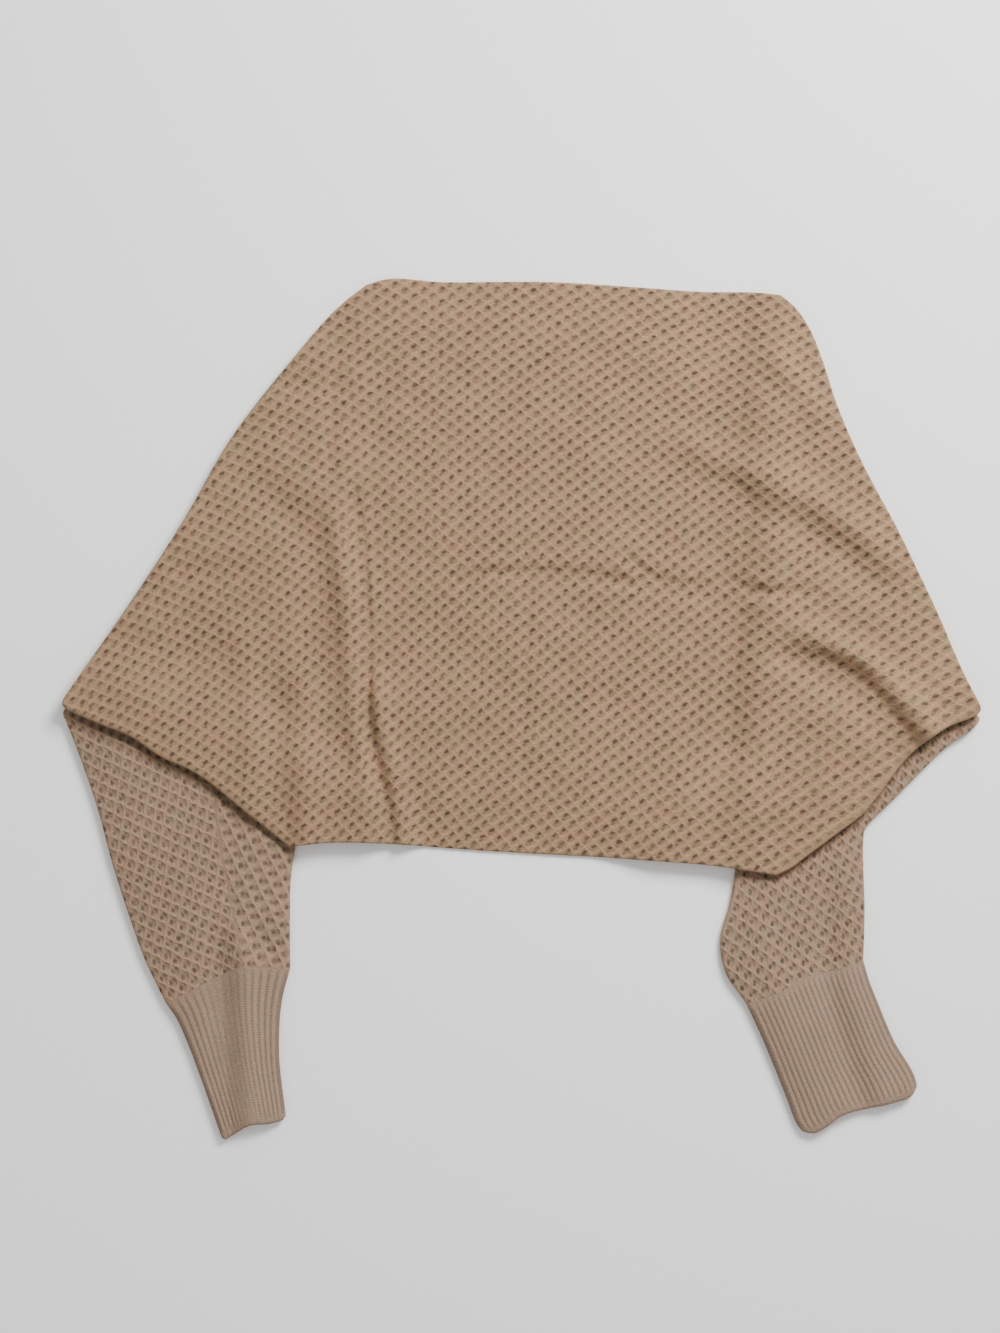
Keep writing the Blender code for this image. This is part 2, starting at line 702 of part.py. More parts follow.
def main():
    """Build the shrug."""
    for item in list(bpy.data.objects):
        bpy.data.objects.remove(item, do_unlink=True)
    outline = back_outline()
    bends = {0, BACK_COLUMNS, RIGHT_TIP, RIGHT_WAIST, LEFT_WAIST, LEFT_TIP}
    normals = inward_normals(outline, bends)
    flaps = back_flaps(outline)
    knit = cloth_material("knit_back", BODY_COLOUR)
    slab("back", outline, normals, BACK_COLUMNS, back_heights, RIM, knit, flaps)

    beside_flap = outline + normals * (WALL + OVERARM_FLAP + SEAM)
    left_overarm = beside_flap[LEFT_TIP + OFF_ELBOW : len(outline) - OFF_SHOULDER + 1][::-1]
    right_overarm = beside_flap[BACK_COLUMNS + OFF_SHOULDER : RIGHT_TIP - OFF_ELBOW + 1]
    arms = {
        "left": (LEFT_TIP, LEFT_WAIST, left_overarm),
        "right": (RIGHT_TIP, RIGHT_WAIST, right_overarm),
    }
    for side, (tip, waist, overarm) in arms.items():
        plan = (tip, waist, outline, normals, flaps)
        reach = np.vstack([sleeve_reach(*plan), np.array(SLEEVE_START[side]).reshape(-1, 2) * MM])
        beside_sleeve = sleeve_reach(*plan, gap=SLEEVE_SEAM)[OFF_ELBOW:]
        corner = np.array(FRONT_CORNER[side]).reshape(-1, 2) * MM
        material = cloth_material(f"knit_front_{side}", FRONT_COLOUR)
        make_front(side, overarm, beside_sleeve, corner, FRONT_EDGES[side], material)
        make_arm(side, reach, ARM_TABLES[side], TUBE_FOLDS[side])
    centre_on_floor()


main()
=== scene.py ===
"""Knitted shrug laid flat with its back uppermost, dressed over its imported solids.

Metres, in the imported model's frame: +Z up, +Y towards the neck edge, the origin at the bottom centre
of the laid garment. Tables of places are in millimetres, as they are in the part's source.
"""

from __future__ import annotations

import logging
import sys
from dataclasses import dataclass, field, replace
from enum import Enum
from typing import Callable, NamedTuple, Sequence

import bmesh
import bpy
import numpy as np
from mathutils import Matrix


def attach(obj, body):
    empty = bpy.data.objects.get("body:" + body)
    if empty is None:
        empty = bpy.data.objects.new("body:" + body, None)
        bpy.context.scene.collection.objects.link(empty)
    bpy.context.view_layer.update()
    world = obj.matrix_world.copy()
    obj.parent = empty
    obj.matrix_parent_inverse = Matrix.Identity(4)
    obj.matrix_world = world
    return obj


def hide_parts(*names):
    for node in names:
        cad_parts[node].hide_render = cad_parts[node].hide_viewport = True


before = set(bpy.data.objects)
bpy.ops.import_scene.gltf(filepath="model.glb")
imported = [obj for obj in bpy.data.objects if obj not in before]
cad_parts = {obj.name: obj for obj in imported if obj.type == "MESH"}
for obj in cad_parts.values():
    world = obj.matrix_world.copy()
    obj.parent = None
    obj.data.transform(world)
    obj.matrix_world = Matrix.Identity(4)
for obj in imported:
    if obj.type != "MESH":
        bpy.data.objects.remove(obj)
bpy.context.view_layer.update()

LOG = logging.getLogger("knitted_shrug")
MM = 0.001
HUNDRED_MM = 0.1


class Side(Enum):
    """The wearer's arms as they lie in the photograph."""

    LEFT = "left"
    RIGHT = "right"


class Slot(Enum):
    """Material slots of the record."""

    BODY = "knit_body"
    SLEEVE = "knit_sleeve"
    CUFF = "rib_cuff"


class Point(NamedTuple):
    """A place in plan, in mm."""

    x: float
    y: float


Route = Sequence[tuple[float, float]]


class Fold(NamedTuple):
    """A ridge, or with a height below 0 a trough, pressed into cloth along a route, in mm."""

    name: str
    height: float
    half_width: float
    route: Route


class Ripple(NamedTuple):
    """A shallow wave in loosely laid cloth: height and length in mm, heading and start in turns."""

    height: float
    length: float
    heading: float
    start: float


class Ring(NamedTuple):
    """One ring of a cloth edge, from its top to its underside, in wall thicknesses.

    A plain edge is rounded over. Along a fold the ring runs round it and along the turned-in flap:
    flap_share is a share of the flap's length, flap_rise of the height from flap to top.
    """

    inset: float
    drop: float
    flap_inset: float
    flap_share: float
    flap_rise: float
    flap_walls: float


class Term(NamedTuple):
    """One term of a stitch field: powers of x and y in 100 mm, and its wales and courses."""

    x: int
    y: int
    wales: float
    courses: float


@dataclass(frozen=True)
class Layers:
    """How thick the knit is, and how high each kind of layer lies."""

    wall: float = 2.6 * MM
    seam: float = 0.3 * MM
    slit: float = 0.6 * MM
    cuff_seam: float = 0.03 * MM
    sleeve_seam: float = 0.8 * MM
    laid_shift: Point = Point(0.0, -0.34)

    @property
    def front_top(self) -> float:
        """Return the height of a front's upper face."""
        return self.wall

    @property
    def tube_top(self) -> float:
        """Return the height of a flattened tube's upper face."""
        return 2 * self.wall + self.slit

    @property
    def over_front(self) -> float:
        """Return the height of cloth that lies on a front."""
        return self.front_top + self.seam

    @property
    def over_sleeve(self) -> float:
        """Return the height of cloth that lies on a flattened tube."""
        return self.tube_top + self.seam

    @property
    def over_flap(self) -> float:
        """Return the height of cloth that lies on a flap turned in over a sleeve."""
        return self.over_sleeve + self.wall + self.seam


LAYERS = Layers()

NECK = [
    (-112.3, 306.9), (-98.6, 310.9), (-59.0, 309.4), (20.2, 309.4), (85.0, 305.5), (128.2, 302.4),
    (172.0, 301.2), (187.0, 299.2),
]
OVERARM_LEFT = [
    (-112.3, 306.9), (-127.2, 295.4), (-166.3, 252.2), (-210.8, 194.6), (-244.1, 136.8),
    (-281.5, 79.2), (-313.5, 32.5), (-333.2, 3.2),
]
OVERARM_RIGHT = [
    (187.0, 299.2), (197.0, 290.5), (207.0, 276.0), (216.8, 252.0), (226.2, 223.0), (238.0, 194.2),
    (275.0, 122.2), (302.2, 64.6), (320.5, 21.4), (333.2, -2.6),
]
FOLD_LEFT = [
    (-333.2, 3.2), (-304.6, -9.4), (-281.5, -18.7), (-259.9, -33.1), (-236.9, -43.8),
    (-197.3, -74.2), (-167.4, -98.2),
]
HEM = [
    (-167.4, -98.2), (-150.0, -96.0), (-90.0, -96.6), (-59.0, -99.2), (-1.4, -103.0),
    (77.8, -107.4), (142.6, -112.4), (183.0, -118.6),
]
FOLD_RIGHT = [
    (183.0, -118.6), (194.0, -113.2), (203.0, -106.2), (228.0, -87.4), (245.8, -73.6),
    (256.3, -60.8), (271.8, -40.2), (289.9, -22.4), (308.0, -11.0), (320.0, -6.5), (333.2, -2.6),
]
FRONT_EDGE_LEFT = [
    (-108.0, 283.0), (-125.0, 250.0), (-133.0, 208.8), (-136.0, 151.2), (-128.0, 79.2),
    (-124.0, 21.6), (-115.0, -31.0), (-107.0, -93.0),
]
FRONT_EDGE_RIGHT = [
    (180.0, 275.0), (173.0, 250.0), (171.0, 208.8), (172.0, 122.4), (176.0, 50.4), (172.0, -14.4),
    (160.0, -74.0),
]
RIGHT_HEM_OVER_SLEEVE = (150.0, -114.5)

BACK_FOLDS = [
    Fold(
        "left soft valley", -2.6, 14,
        [(-225, 176), (-178, 150), (-156, 122), (-150, 42), (-143, -51), (-138, -120)],
    ),
    Fold(
        "left ridge", 4.0, 8.5,
        [(-144, 182), (-128, 89), (-124, 42), (-121, -4), (-113, -50), (-106, -124)],
    ),
    Fold(
        "left hem swell", 5.0, 8,
        [(-106, 40), (-103, 10), (-99, -15), (-92, -45), (-85, -89), (-79, -160)],
    ),
    Fold("left hem fall", 1.6, 18, [(-98, 20), (-88, -20), (-78, -60)]),
    Fold("left corner ridge", 2.6, 11, [(-158, 60), (-156, -10), (-155, -50), (-157, -140)]),
    Fold("left hip dent", -2.8, 13, [(-180, 60), (-177, -10), (-175, -50), (-178, -140)]),
    Fold("left hip swell", 1.8, 10, [(-200, 50), (-195, 0), (-192, -40), (-196, -100)]),
    Fold("upper right ridge", 2.6, 9, [(176, 262), (190, 246), (206, 226), (220, 196)]),
    Fold("upper right dent", -1.6, 9, [(160, 250), (176, 236), (192, 214)]),
    Fold(
        "right high ridge", 4.0, 12,
        [(92, 204), (130, 188), (172, 167), (210, 150), (238, 131), (290, 84)],
    ),
    Fold(
        "right high valley", -2.2, 12,
        [(90, 182), (124, 168), (162, 146), (200, 131), (228, 113), (290, 60)],
    ),
    Fold(
        "right elbow ridge", 6.6, 10,
        [(172, 60), (196, 57), (220, 49), (246, 37), (267, 18), (284, -3), (340, -72)],
    ),
    Fold(
        "right elbow valley", -4.0, 10,
        [(160, 42), (184, 39), (206, 32), (230, 20), (248, 3), (262, -17), (305, -86)],
    ),
    Fold("right batwing swell", 2.0, 24, [(185, 8), (222, -10), (250, -40)]),
    Fold(
        "right press ridge", 4.0, 17,
        [(190, 350), (182, 240), (179, 180), (184, 120), (180, 60), (172, 0), (152, -150)],
    ),
    Fold(
        "right press band", -2.8, 18,
        [(158, 350), (151, 240), (148, 180), (153, 120), (149, 60), (143, 0), (124, -150)],
    ),
    Fold("left batwing dent", -1.6, 10, [(-262, 99), (-225, 101), (-178, 98)]),
    Fold("left elbow dent", -1.6, 10, [(-251, 38), (-225, 42), (-203, 38)]),
    Fold("left shoulder dent", -1.4, 8, [(-186, 233), (-150, 234), (-110, 230)]),
    Fold("waist swell", 0.8, 8, [(-92, 92), (-53, 102), (27, 108), (74, 105), (196, 96)]),
]
BACK_CREASES = [
    Fold(
        "left crease", -4.4, 3.0,
        [(-123, 170), (-117, 128), (-113, 85), (-111, 28), (-110, -13), (-104, -32)],
    ),
    Fold(
        "left hem crease", -3.2, 4.5,
        [(-112, 20), (-111, -16), (-106, -36), (-100, -60), (-96, -89), (-92, -124)],
    ),
    Fold(
        "waist press line", -2.8, 4.5,
        [(-60, 86), (-48, 89), (-30, 98), (0, 98), (55, 95), (112, 87), (200, 84)],
    ),
    Fold(
        "waist press fork", -2.4, 5,
        [(66, 114), (80, 106), (96, 94), (112, 88), (150, 85), (190, 85), (222, 84)],
    ),
    Fold("left waist line", -0.8, 5, [(-125, 115), (-90, 113), (-60, 109)]),
    Fold("centre press line", -0.9, 4, [(6, 117), (2, 20), (0, -130)]),
    Fold("front edge line", -0.9, 5, [(-126, 300), (-136, 230), (-138, 150)]),
    Fold(
        "right elbow crease", -2.6, 4,
        [(206, 42), (226, 35), (245, 23), (262, 4), (277, -16), (308, -56)],
    ),
]
RIPPLES = [
    Ripple(0.34, 88, 0.06, 0.10),
    Ripple(0.31, 71, 0.21, 0.45),
    Ripple(0.26, 57, 0.37, 0.80),
    Ripple(0.22, 46, 0.46, 0.25),
    Ripple(0.18, 38, 0.14, 0.60),
    Ripple(0.15, 31, 0.29, 0.05),
]
LEFT_TUBE_FOLDS = [
    Fold("left sleeve crease", -1.8, 9, [(-222, -108), (-198, -156), (-169, -185)]),
    Fold("left cuff trough", -2.6, 10, [(-222, -120), (-217, -240), (-211, -360)]),
    Fold("left cuff ridge", 3.6, 10, [(-203, -120), (-198, -240), (-191, -360)]),
]
RIGHT_TUBE_FOLDS = [
    Fold("right sleeve trough", -2.2, 9, [(222, -90), (221, -199), (231, -238), (262, -330)]),
    Fold("right sleeve ridge", 1.2, 9, [(239, -90), (238, -199), (248, -238), (276, -330)]),
    Fold("right sleeve swell", 1.2, 12, [(170, -120), (186, -215), (230, -320)]),
]

BODY_STITCHES = (
    Term(1, 0, 17.375, -1.300),
    Term(0, 1, -1.167, -19.785),
    Term(2, 0, -0.256, -0.418),
    Term(1, 1, -0.187, 0.383),
    Term(0, 2, 0.676, -0.091),
    Term(3, 0, -0.132, 0.194),
    Term(2, 1, 0.152, -0.164),
    Term(1, 2, -0.166, -0.088),
    Term(0, 3, -0.149, -0.058),
)
LEFT_SLEEVE_STITCHES = (Term(1, 0, 7.92, 18.89), Term(0, 1, -13.61, 9.03))
LEFT_INNER_STITCHES = (Term(1, 0, -4.17, 17.78), Term(0, 1, -14.58, -4.03))
RIGHT_SLEEVE_STITCHES = (Term(1, 0, 5.56, 20.56), Term(0, 1, -13.47, 5.56))

EDGE_RINGS = [
    Ring(1.00, 0.00, 1.00, 0, 1.00, 0),
    Ring(0.60, 0.02, 0.50, 0, 0.985, 0),
    Ring(0.28, 0.13, 0.20, 0, 0.93, 0),
    Ring(0.08, 0.32, 0.04, 0, 0.78, 0),
    Ring(0.00, 0.55, 0.00, 0, 0.52, 0),
    Ring(0.08, 0.82, 0.14, 0, 0.24, 0),
    Ring(0.25, 1.00, 0.50, 0, 0.02, 0),
    Ring(0.45, 1.00, 1.00, 1, 0.00, 0),
    Ring(0.62, 1.00, 1.00, 1, 0.00, 1),
    Ring(0.80, 1.00, 1.00, 0, 0.00, 1),
    Ring(1.00, 1.00, 1.00, 0, 1.00, -1),
]
PLAIN_RINGS = [
    Ring(1.00, 0.00, 0, 0, 0, 0),
    Ring(0.30, 0.12, 0, 0, 0, 0),
    Ring(0.00, 0.50, 0, 0, 0, 0),
    Ring(0.30, 1.00, 0, 0, 0, 0),
    Ring(1.00, 1.00, 0, 0, 0, 0),
]


def smooth_curve(points: Route, steps: int = 8) -> np.ndarray:
    """Draw a smooth line through a table of points.

    Args:
        points: Places in mm.
        steps: Divisions between two of them.

    Returns:
        A dense polyline in metres.
    """
    knots = np.array(points, float) * MM
    if len(knots) == 2:
        return knots
    lengths = np.linalg.norm(np.diff(knots, axis=0), axis=1)
    knot_at = np.concatenate([[0.0], np.cumsum(lengths)])
    slopes = np.gradient(knots, knot_at, axis=0)
    dense = []
    for i, length in enumerate(lengths):
        t = np.arange(steps)[:, None] / steps
        dense.append(
            (1 + 2 * t) * (1 - t) ** 2 * knots[i]
            + t * (1 - t) ** 2 * length * slopes[i]
            + t**2 * (3 - 2 * t) * knots[i + 1]
            + t**2 * (t - 1) * length * slopes[i + 1]
        )
    return np.vstack(dense + [knots[-1:]])


def spread(curve: np.ndarray, fractions: np.ndarray) -> np.ndarray:
    """Find the points at given fractions of a polyline's length.

    Args:
        curve: The polyline's points.
        fractions: Shares of its length.

    Returns:
        A point for each fraction.
    """
    lengths = np.linalg.norm(np.diff(curve, axis=0), axis=1)
    at = np.concatenate([[0.0], np.cumsum(lengths)]) / lengths.sum()
    return np.column_stack([np.interp(fractions, at, curve[:, k]) for k in (0, 1)])


def squeezed(line: np.ndarray, inset: float) -> np.ndarray:
    """Draw a line's points in from both of its ends, along it.

    Args:
        line: The line's points.
        inset: How far the ends move.

    Returns:
        As many points, closer together.
    """
    lengths = np.linalg.norm(np.diff(line, axis=0), axis=1)
    at = np.concatenate([[0.0], np.cumsum(lengths)]) / lengths.sum()
    share = inset / lengths.sum()
    return spread(line, share + (1 - 2 * share) * at)


def even(curve: np.ndarray, count: int) -> np.ndarray:
    """Return count + 1 points evenly spaced along a polyline."""
    return spread(curve, np.linspace(0, 1, count + 1))


def chained(*runs: np.ndarray) -> np.ndarray:
    """Join runs of points whose ends coincide."""
    return np.vstack([runs[0]] + [run[1:] for run in runs[1:]])


def patch(top: np.ndarray, bottom: np.ndarray, left: np.ndarray, right: np.ndarray) -> np.ndarray:
    """Fill four sides with a transfinite grid.

    Args:
        top: Points across the first side.
        bottom: As many points across the opposite side.
        left: Points down from the first corner.
        right: As many points down the opposite side.

    Returns:
        Points indexed across and then down.
    """
    u = np.linspace(0, 1, len(top))[:, None, None]
    v = np.linspace(0, 1, len(left))[None, :, None]
    ruled = (1 - v) * top[:, None] + v * bottom[:, None] + (1 - u) * left[None] + u * right[None]
    corners = (
        (1 - u) * (1 - v) * top[0]
        + u * (1 - v) * top[-1]
        + (1 - u) * v * bottom[0]
        + u * v * bottom[-1]
    )
    return ruled - corners


def smoothstep(x: np.ndarray) -> np.ndarray:
    """Rise from 0 at 0 to 1 at 1."""
    x = np.clip(x, 0, 1)
    return x * x * (3 - 2 * x)


def distance_to(xy: np.ndarray, line: np.ndarray) -> tuple[np.ndarray, np.ndarray]:
    """Measure from points to a polyline.

    Args:
        xy: Points, in an array of any shape.
        line: The polyline.

    Returns:
        The distance from each point, and how far along the line the nearest place lies.
    """
    starts, spans = line[:-1], np.diff(line, axis=0)
    sizes = (spans**2).sum(1)
    lengths = np.sqrt(sizes)
    before = np.concatenate([[0.0], np.cumsum(lengths)])[:-1]
    gap = np.full(xy.shape[:-1], np.inf)
    along = np.zeros(xy.shape[:-1])
    for start, span, size, length, run in zip(starts, spans, sizes, lengths, before):
        offset = xy - start
        t = np.clip((offset @ span) / size, 0, 1)
        reach = np.hypot(offset[..., 0] - t * span[0], offset[..., 1] - t * span[1])
        nearer = reach < gap
        gap = np.where(nearer, reach, gap)
        along = np.where(nearer, run + t * length, along)
    return gap, along / lengths.sum()


def fold_relief(xy: np.ndarray, folds: Sequence[Fold], fade_share: float = 0.25) -> np.ndarray:
    """Sum the ridges and troughs of a table of folds, which fade out towards their ends.

    Args:
        xy: Points in plan.
        folds: The table.
        fade_share: The share of a route over which its fold fades in.

    Returns:
        The relief at each point, in metres.
    """
    relief = np.zeros(xy.shape[:-1])
    for fold in folds:
        gap, along = distance_to(xy, smooth_curve(fold.route, 4))
        fade = smoothstep(along / fade_share) * smoothstep((1 - along) / fade_share)
        relief += fold.height * MM * fade * np.exp(-((gap / (fold.half_width * MM)) ** 2))
    return relief


def rippled(xy: np.ndarray, ripples: Sequence[Ripple]) -> np.ndarray:
    """Sum the shallow waves of loosely laid cloth.

    Args:
        xy: Points in plan.
        ripples: The table of waves.

    Returns:
        The relief at each point, in metres.
    """
    relief = np.zeros(xy.shape[:-1])
    for ripple in ripples:
        turn = 2 * np.pi * ripple.heading
        run = (xy[..., 0] * np.cos(turn) + xy[..., 1] * np.sin(turn)) / (ripple.length * MM)
        relief += ripple.height * MM * np.sin(2 * np.pi * (run + ripple.start))
    return relief


def divided(line: np.ndarray, parts: int) -> np.ndarray:
    """Divide each span of a line in equal parts.

    Args:
        line: The line's points.
        parts: Parts for each span.

    Returns:
        The fractions of its length at the divisions.
    """
    lengths = np.linalg.norm(np.diff(line, axis=0), axis=1)
    at = np.concatenate([[0.0], np.cumsum(lengths)]) / lengths.sum()
    finer = np.arange(parts * (len(line) - 1) + 1) / parts
    return np.interp(finer, np.arange(len(line)), at)


def fill_loop(loop: np.ndarray, columns: int, rows: int, step: int = 1) -> np.ndarray:
    """Fill a clockwise closed loop, which starts at its upper left corner, with a grid.

    Args:
        loop: The loop's points.
        columns: Divisions across.
        rows: Divisions down.
        step: Keeps every step-th point.

    Returns:
        Points indexed across and then down.
    """
    low = columns + rows
    return patch(
        loop[: columns + 1 : step],
        loop[low : low + columns + 1][::-1][::step],
        np.vstack([loop[:1], loop[low + columns :][::-1]])[::step],
        loop[columns : low + 1][::step],
    )


def rounded(loop: np.ndarray, corners: Sequence[int], reach: int, passes: int) -> np.ndarray:
    """Round off corners of a closed loop by smoothing the points beside them.

    Args:
        loop: The loop's points.
        corners: Which points are corners.
        reach: How many points on each side of a corner may move.
        passes: How often they are smoothed.

    Returns:
        As many points.
    """
    loop = loop.copy()
    near = np.zeros(len(loop), bool)
    for corner in corners:
        near[np.arange(corner - reach, corner + reach + 1) % len(loop)] = True
    for _ in range(passes):
        mean = (np.roll(loop, 1, axis=0) + 2 * loop + np.roll(loop, -1, axis=0)) / 4
        loop[near] = mean[near]
    return loop


def inward_normals(outline: np.ndarray, corners: Sequence[int], passes: int = 12) -> np.ndarray:
    """Find the mitred inward directions of a clockwise closed outline.

    Args:
        outline: Its points.
        corners: The places where its direction may turn sharply.
        passes: How often the directions between the corners are smoothed.

    Returns:
        A direction for each point.
    """
    step = np.roll(outline, -1, axis=0) - outline
    step /= np.linalg.norm(step, axis=1)[:, None]
    right = np.column_stack([step[:, 1], -step[:, 0]])
    before = np.roll(right, 1, axis=0)
    mitre = (before + right) / (1 + (before * right).sum(1))[:, None]
    free = np.ones(len(outline), bool)
    free[list(corners)] = False
    for _ in range(passes):
        mean = (np.roll(mitre, 1, axis=0) + 2 * mitre + np.roll(mitre, -1, axis=0)) / 4
        mean /= np.linalg.norm(mean, axis=1)[:, None]
        mitre[free] = mean[free]
    return mitre


def border(grid: np.ndarray) -> np.ndarray:
    """Return a grid's outer items, clockwise from its first corner."""
    return np.concatenate([grid[:, 0], grid[-1, 1:], grid[-2::-1, -1], grid[0, -2:0:-1]])


@dataclass(frozen=True)
class StitchField:
    """Where each wale and course of a knit runs over the laid cloth."""

    terms: tuple[Term, ...]

    def at(self, xy: np.ndarray) -> np.ndarray:
        """Count stitches at points.

        Args:
            xy: Points in plan.

        Returns:
            The wale and the course at each point.
        """
        x, y = xy[..., 0] / HUNDRED_MM, xy[..., 1] / HUNDRED_MM
        wales = sum(term.wales * x**term.x * y**term.y for term in self.terms)
        courses = sum(term.courses * x**term.x * y**term.y for term in self.terms)
        return np.stack([wales, courses], axis=-1)


@dataclass(frozen=True)
class TuckRelief:
    """The standing form of a tuck knit: crossed ridges with a hollow in each diamond.

    One set of ridges rises to the right and stands over the other, so the hollows lean with it.
    """

    height: float = 0.85 * MM
    slant: float = 0.68
    head: tuple[float, float] = (0.05, -0.24)
    tail: tuple[float, float] = (-0.12, 0.32)

    def at(self, stitches: np.ndarray, openness: np.ndarray) -> np.ndarray:
        """Work out the relief.

        Args:
            stitches: Wale and course at each point.
            openness: How far the knit is open there, from 0 to 1.

        Returns:
            Heights in metres, from below the cloth's mean face to above it.
        """
        wale = stitches[..., 0] - (self.head[0] + self.tail[0]) / 2
        course = stitches[..., 1] - (self.head[1] + self.tail[1]) / 2
        rising = 0.5 + 0.5 * np.cos(np.pi * (wale + course))
        falling = 0.5 + 0.5 * np.cos(np.pi * (wale - course))
        dips = rising ** (2 * self.slant) * falling ** (2 - 2 * self.slant)
        return self.height * openness * (0.25 - dips)


@dataclass
class ClothMesh:
    """A bmesh of cloth under construction, with the arrays of vertices that shape it."""

    builder: bmesh.types.BMesh = field(default_factory=bmesh.new)
    merged_within: float = 0.002 * MM

    def grid(self, columns: int, rows: int) -> np.ndarray:
        """Add a grid.

        Args:
            columns: Faces across.
            rows: Faces down.

        Returns:
            Its vertices, indexed across and then down.
        """
        made = bmesh.ops.create_grid(self.builder, x_segments=columns, y_segments=rows, size=1.0)
        verts = np.empty((columns + 1, rows + 1), object)
        for vert in made["verts"]:
            across = round((vert.co.x + 1) / 2 * columns)
            down = round((1 - vert.co.y) / 2 * rows)
            verts[across, down] = vert
        return verts

    def ring(self, loop: np.ndarray) -> np.ndarray:
        """Extrude a closed loop of vertices.

        Args:
            loop: The vertices in order.

        Returns:
            The new vertices in the same order.
        """
        following = np.roll(loop, -1)
        edges = [self.builder.edges.get(pair) for pair in zip(loop, following)]
        made = bmesh.ops.extrude_edge_only(self.builder, edges=edges)["geom"]
        fresh = {item for item in made if isinstance(item, bmesh.types.BMVert)}
        ring = np.empty(len(loop), object)
        for place, vert in enumerate(loop):
            others = (edge.other_vert(vert) for edge in vert.link_edges)
            ring[place] = next(other for other in others if other in fresh)
        return ring

    def weld(self, loop: np.ndarray, coarse: np.ndarray, step: int = 1) -> None:
        """Bring the border of a coarser grid onto a closed loop, to be merged with it.

        Args:
            loop: The loop's vertices.
            coarse: The border's vertices, one for every step of the loop.
            step: How many of the loop's edges lie along each border edge.
        """
        for place, (at, following) in enumerate(zip(coarse, np.roll(coarse, -1))):
            for part in range(step):
                at.co = loop[place * step + part].co
                if part < step - 1:
                    edge = self.builder.edges.get((at, following))
                    _, at = bmesh.utils.edge_split(edge, at, 1 / (step - part))

    @staticmethod
    def place(verts: np.ndarray, xy: np.ndarray, z: np.ndarray) -> None:
        """Move vertices to points in plan.

        Args:
            verts: The vertices.
            xy: A point in plan for each.
            z: Their heights.
        """
        heights = np.broadcast_to(z, xy.shape[:-1])
        for index in np.ndindex(verts.shape):
            verts[index].co = (*xy[index], heights[index])

    def _put_in_order(self) -> None:
        """Sort the points and faces by place, so that each run gives the same mesh."""
        verts, faces = self.builder.verts, self.builder.faces
        verts.index_update()
        places = np.array([vert.co for vert in verts])
        rank = np.lexsort(places.T).argsort()
        verts.sort(key=lambda vert: rank[vert.index])
        verts.index_update()
        faces.index_update()
        corners = np.array([sorted(vert.index for vert in face.verts)[:3] for face in faces])
        rank = np.lexsort(corners.T).argsort()
        faces.sort(key=lambda face: rank[face.index])

    def finish(self, name: str) -> bpy.types.Object:
        """Close the mesh and link its object.

        Args:
            name: The piece's name.

        Returns:
            The object, at the origin, with its faces pointing out.
        """
        bmesh.ops.remove_doubles(self.builder, verts=self.builder.verts, dist=self.merged_within)
        bmesh.ops.recalc_face_normals(self.builder, faces=self.builder.faces)
        if self.builder.calc_volume(signed=True) < 0:
            bmesh.ops.reverse_faces(self.builder, faces=self.builder.faces)
        shift = (LAYERS.laid_shift.x * MM, LAYERS.laid_shift.y * MM, 0)
        bmesh.ops.translate(self.builder, verts=self.builder.verts, vec=shift)
        self._put_in_order()
        mesh = bpy.data.meshes.new(name)
        self.builder.to_mesh(mesh)
        self.builder.free()
        mesh.shade_smooth()
        piece = bpy.data.objects.new(name, mesh)
        bpy.context.collection.objects.link(piece)
        return piece


def linear(hex_colour: str) -> tuple[float, float, float, float]:
    """Turn an sRGB hex value into linear colour.

    Args:
        hex_colour: Six hex digits.

    Returns:
        Red, green, blue and an alpha of 1.
    """
    channels = [int(hex_colour[i : i + 2], 16) / 255 for i in (0, 2, 4)]
    rgb = [c / 12.92 if c <= 0.04045 else ((c + 0.055) / 1.055) ** 2.4 for c in channels]
    return (rgb[0], rgb[1], rgb[2], 1.0)


def per_metre(size_mm: float) -> float:
    """Return the pattern scale that repeats at a size in mm."""
    return 1 / (size_mm * MM)


class Wiring(NamedTuple):
    """A kind of shader node: its type, its settings, and the inputs that it takes in order."""

    kind: str
    settings: dict[str, str]
    inputs: tuple[int | str, ...] = (0, 1, 2, 3, 4)


class Node(Enum):
    """The shader nodes that the finishes are made from."""

    PLACE = Wiring("ShaderNodeTexCoord", {})
    CHART = Wiring("ShaderNodeAttribute", {"attribute_name": "stitch"})
    AXES = Wiring("ShaderNodeSeparateXYZ", {})
    CHANNELS = Wiring("ShaderNodeSeparateColor", {})
    JOINED = Wiring("ShaderNodeCombineColor", {})
    NOISE = Wiring("ShaderNodeTexNoise", {}, ("Vector", "Scale", "Detail"))
    PLUS = Wiring("ShaderNodeMath", {"operation": "ADD"})
    MINUS = Wiring("ShaderNodeMath", {"operation": "SUBTRACT"})
    TIMES = Wiring("ShaderNodeMath", {"operation": "MULTIPLY"})
    TIMES_PLUS = Wiring("ShaderNodeMath", {"operation": "MULTIPLY_ADD"})
    LARGER = Wiring("ShaderNodeMath", {"operation": "MAXIMUM"})
    COSINE = Wiring("ShaderNodeMath", {"operation": "COSINE"})
    SINE = Wiring("ShaderNodeMath", {"operation": "SINE"})
    EASED = Wiring("ShaderNodeMapRange", {"interpolation_type": "SMOOTHSTEP"})
    MIXED = Wiring("ShaderNodeMix", {"data_type": "RGBA"}, (0, 6, 7))
    TINTED = Wiring("ShaderNodeMix", {"data_type": "RGBA", "blend_type": "MULTIPLY"}, (0, 6, 7))
    BUMP = Wiring("ShaderNodeBump", {}, ("Strength", "Distance", "Height"))


COLOUR_OUT = 2
Socket = bpy.types.NodeSocket


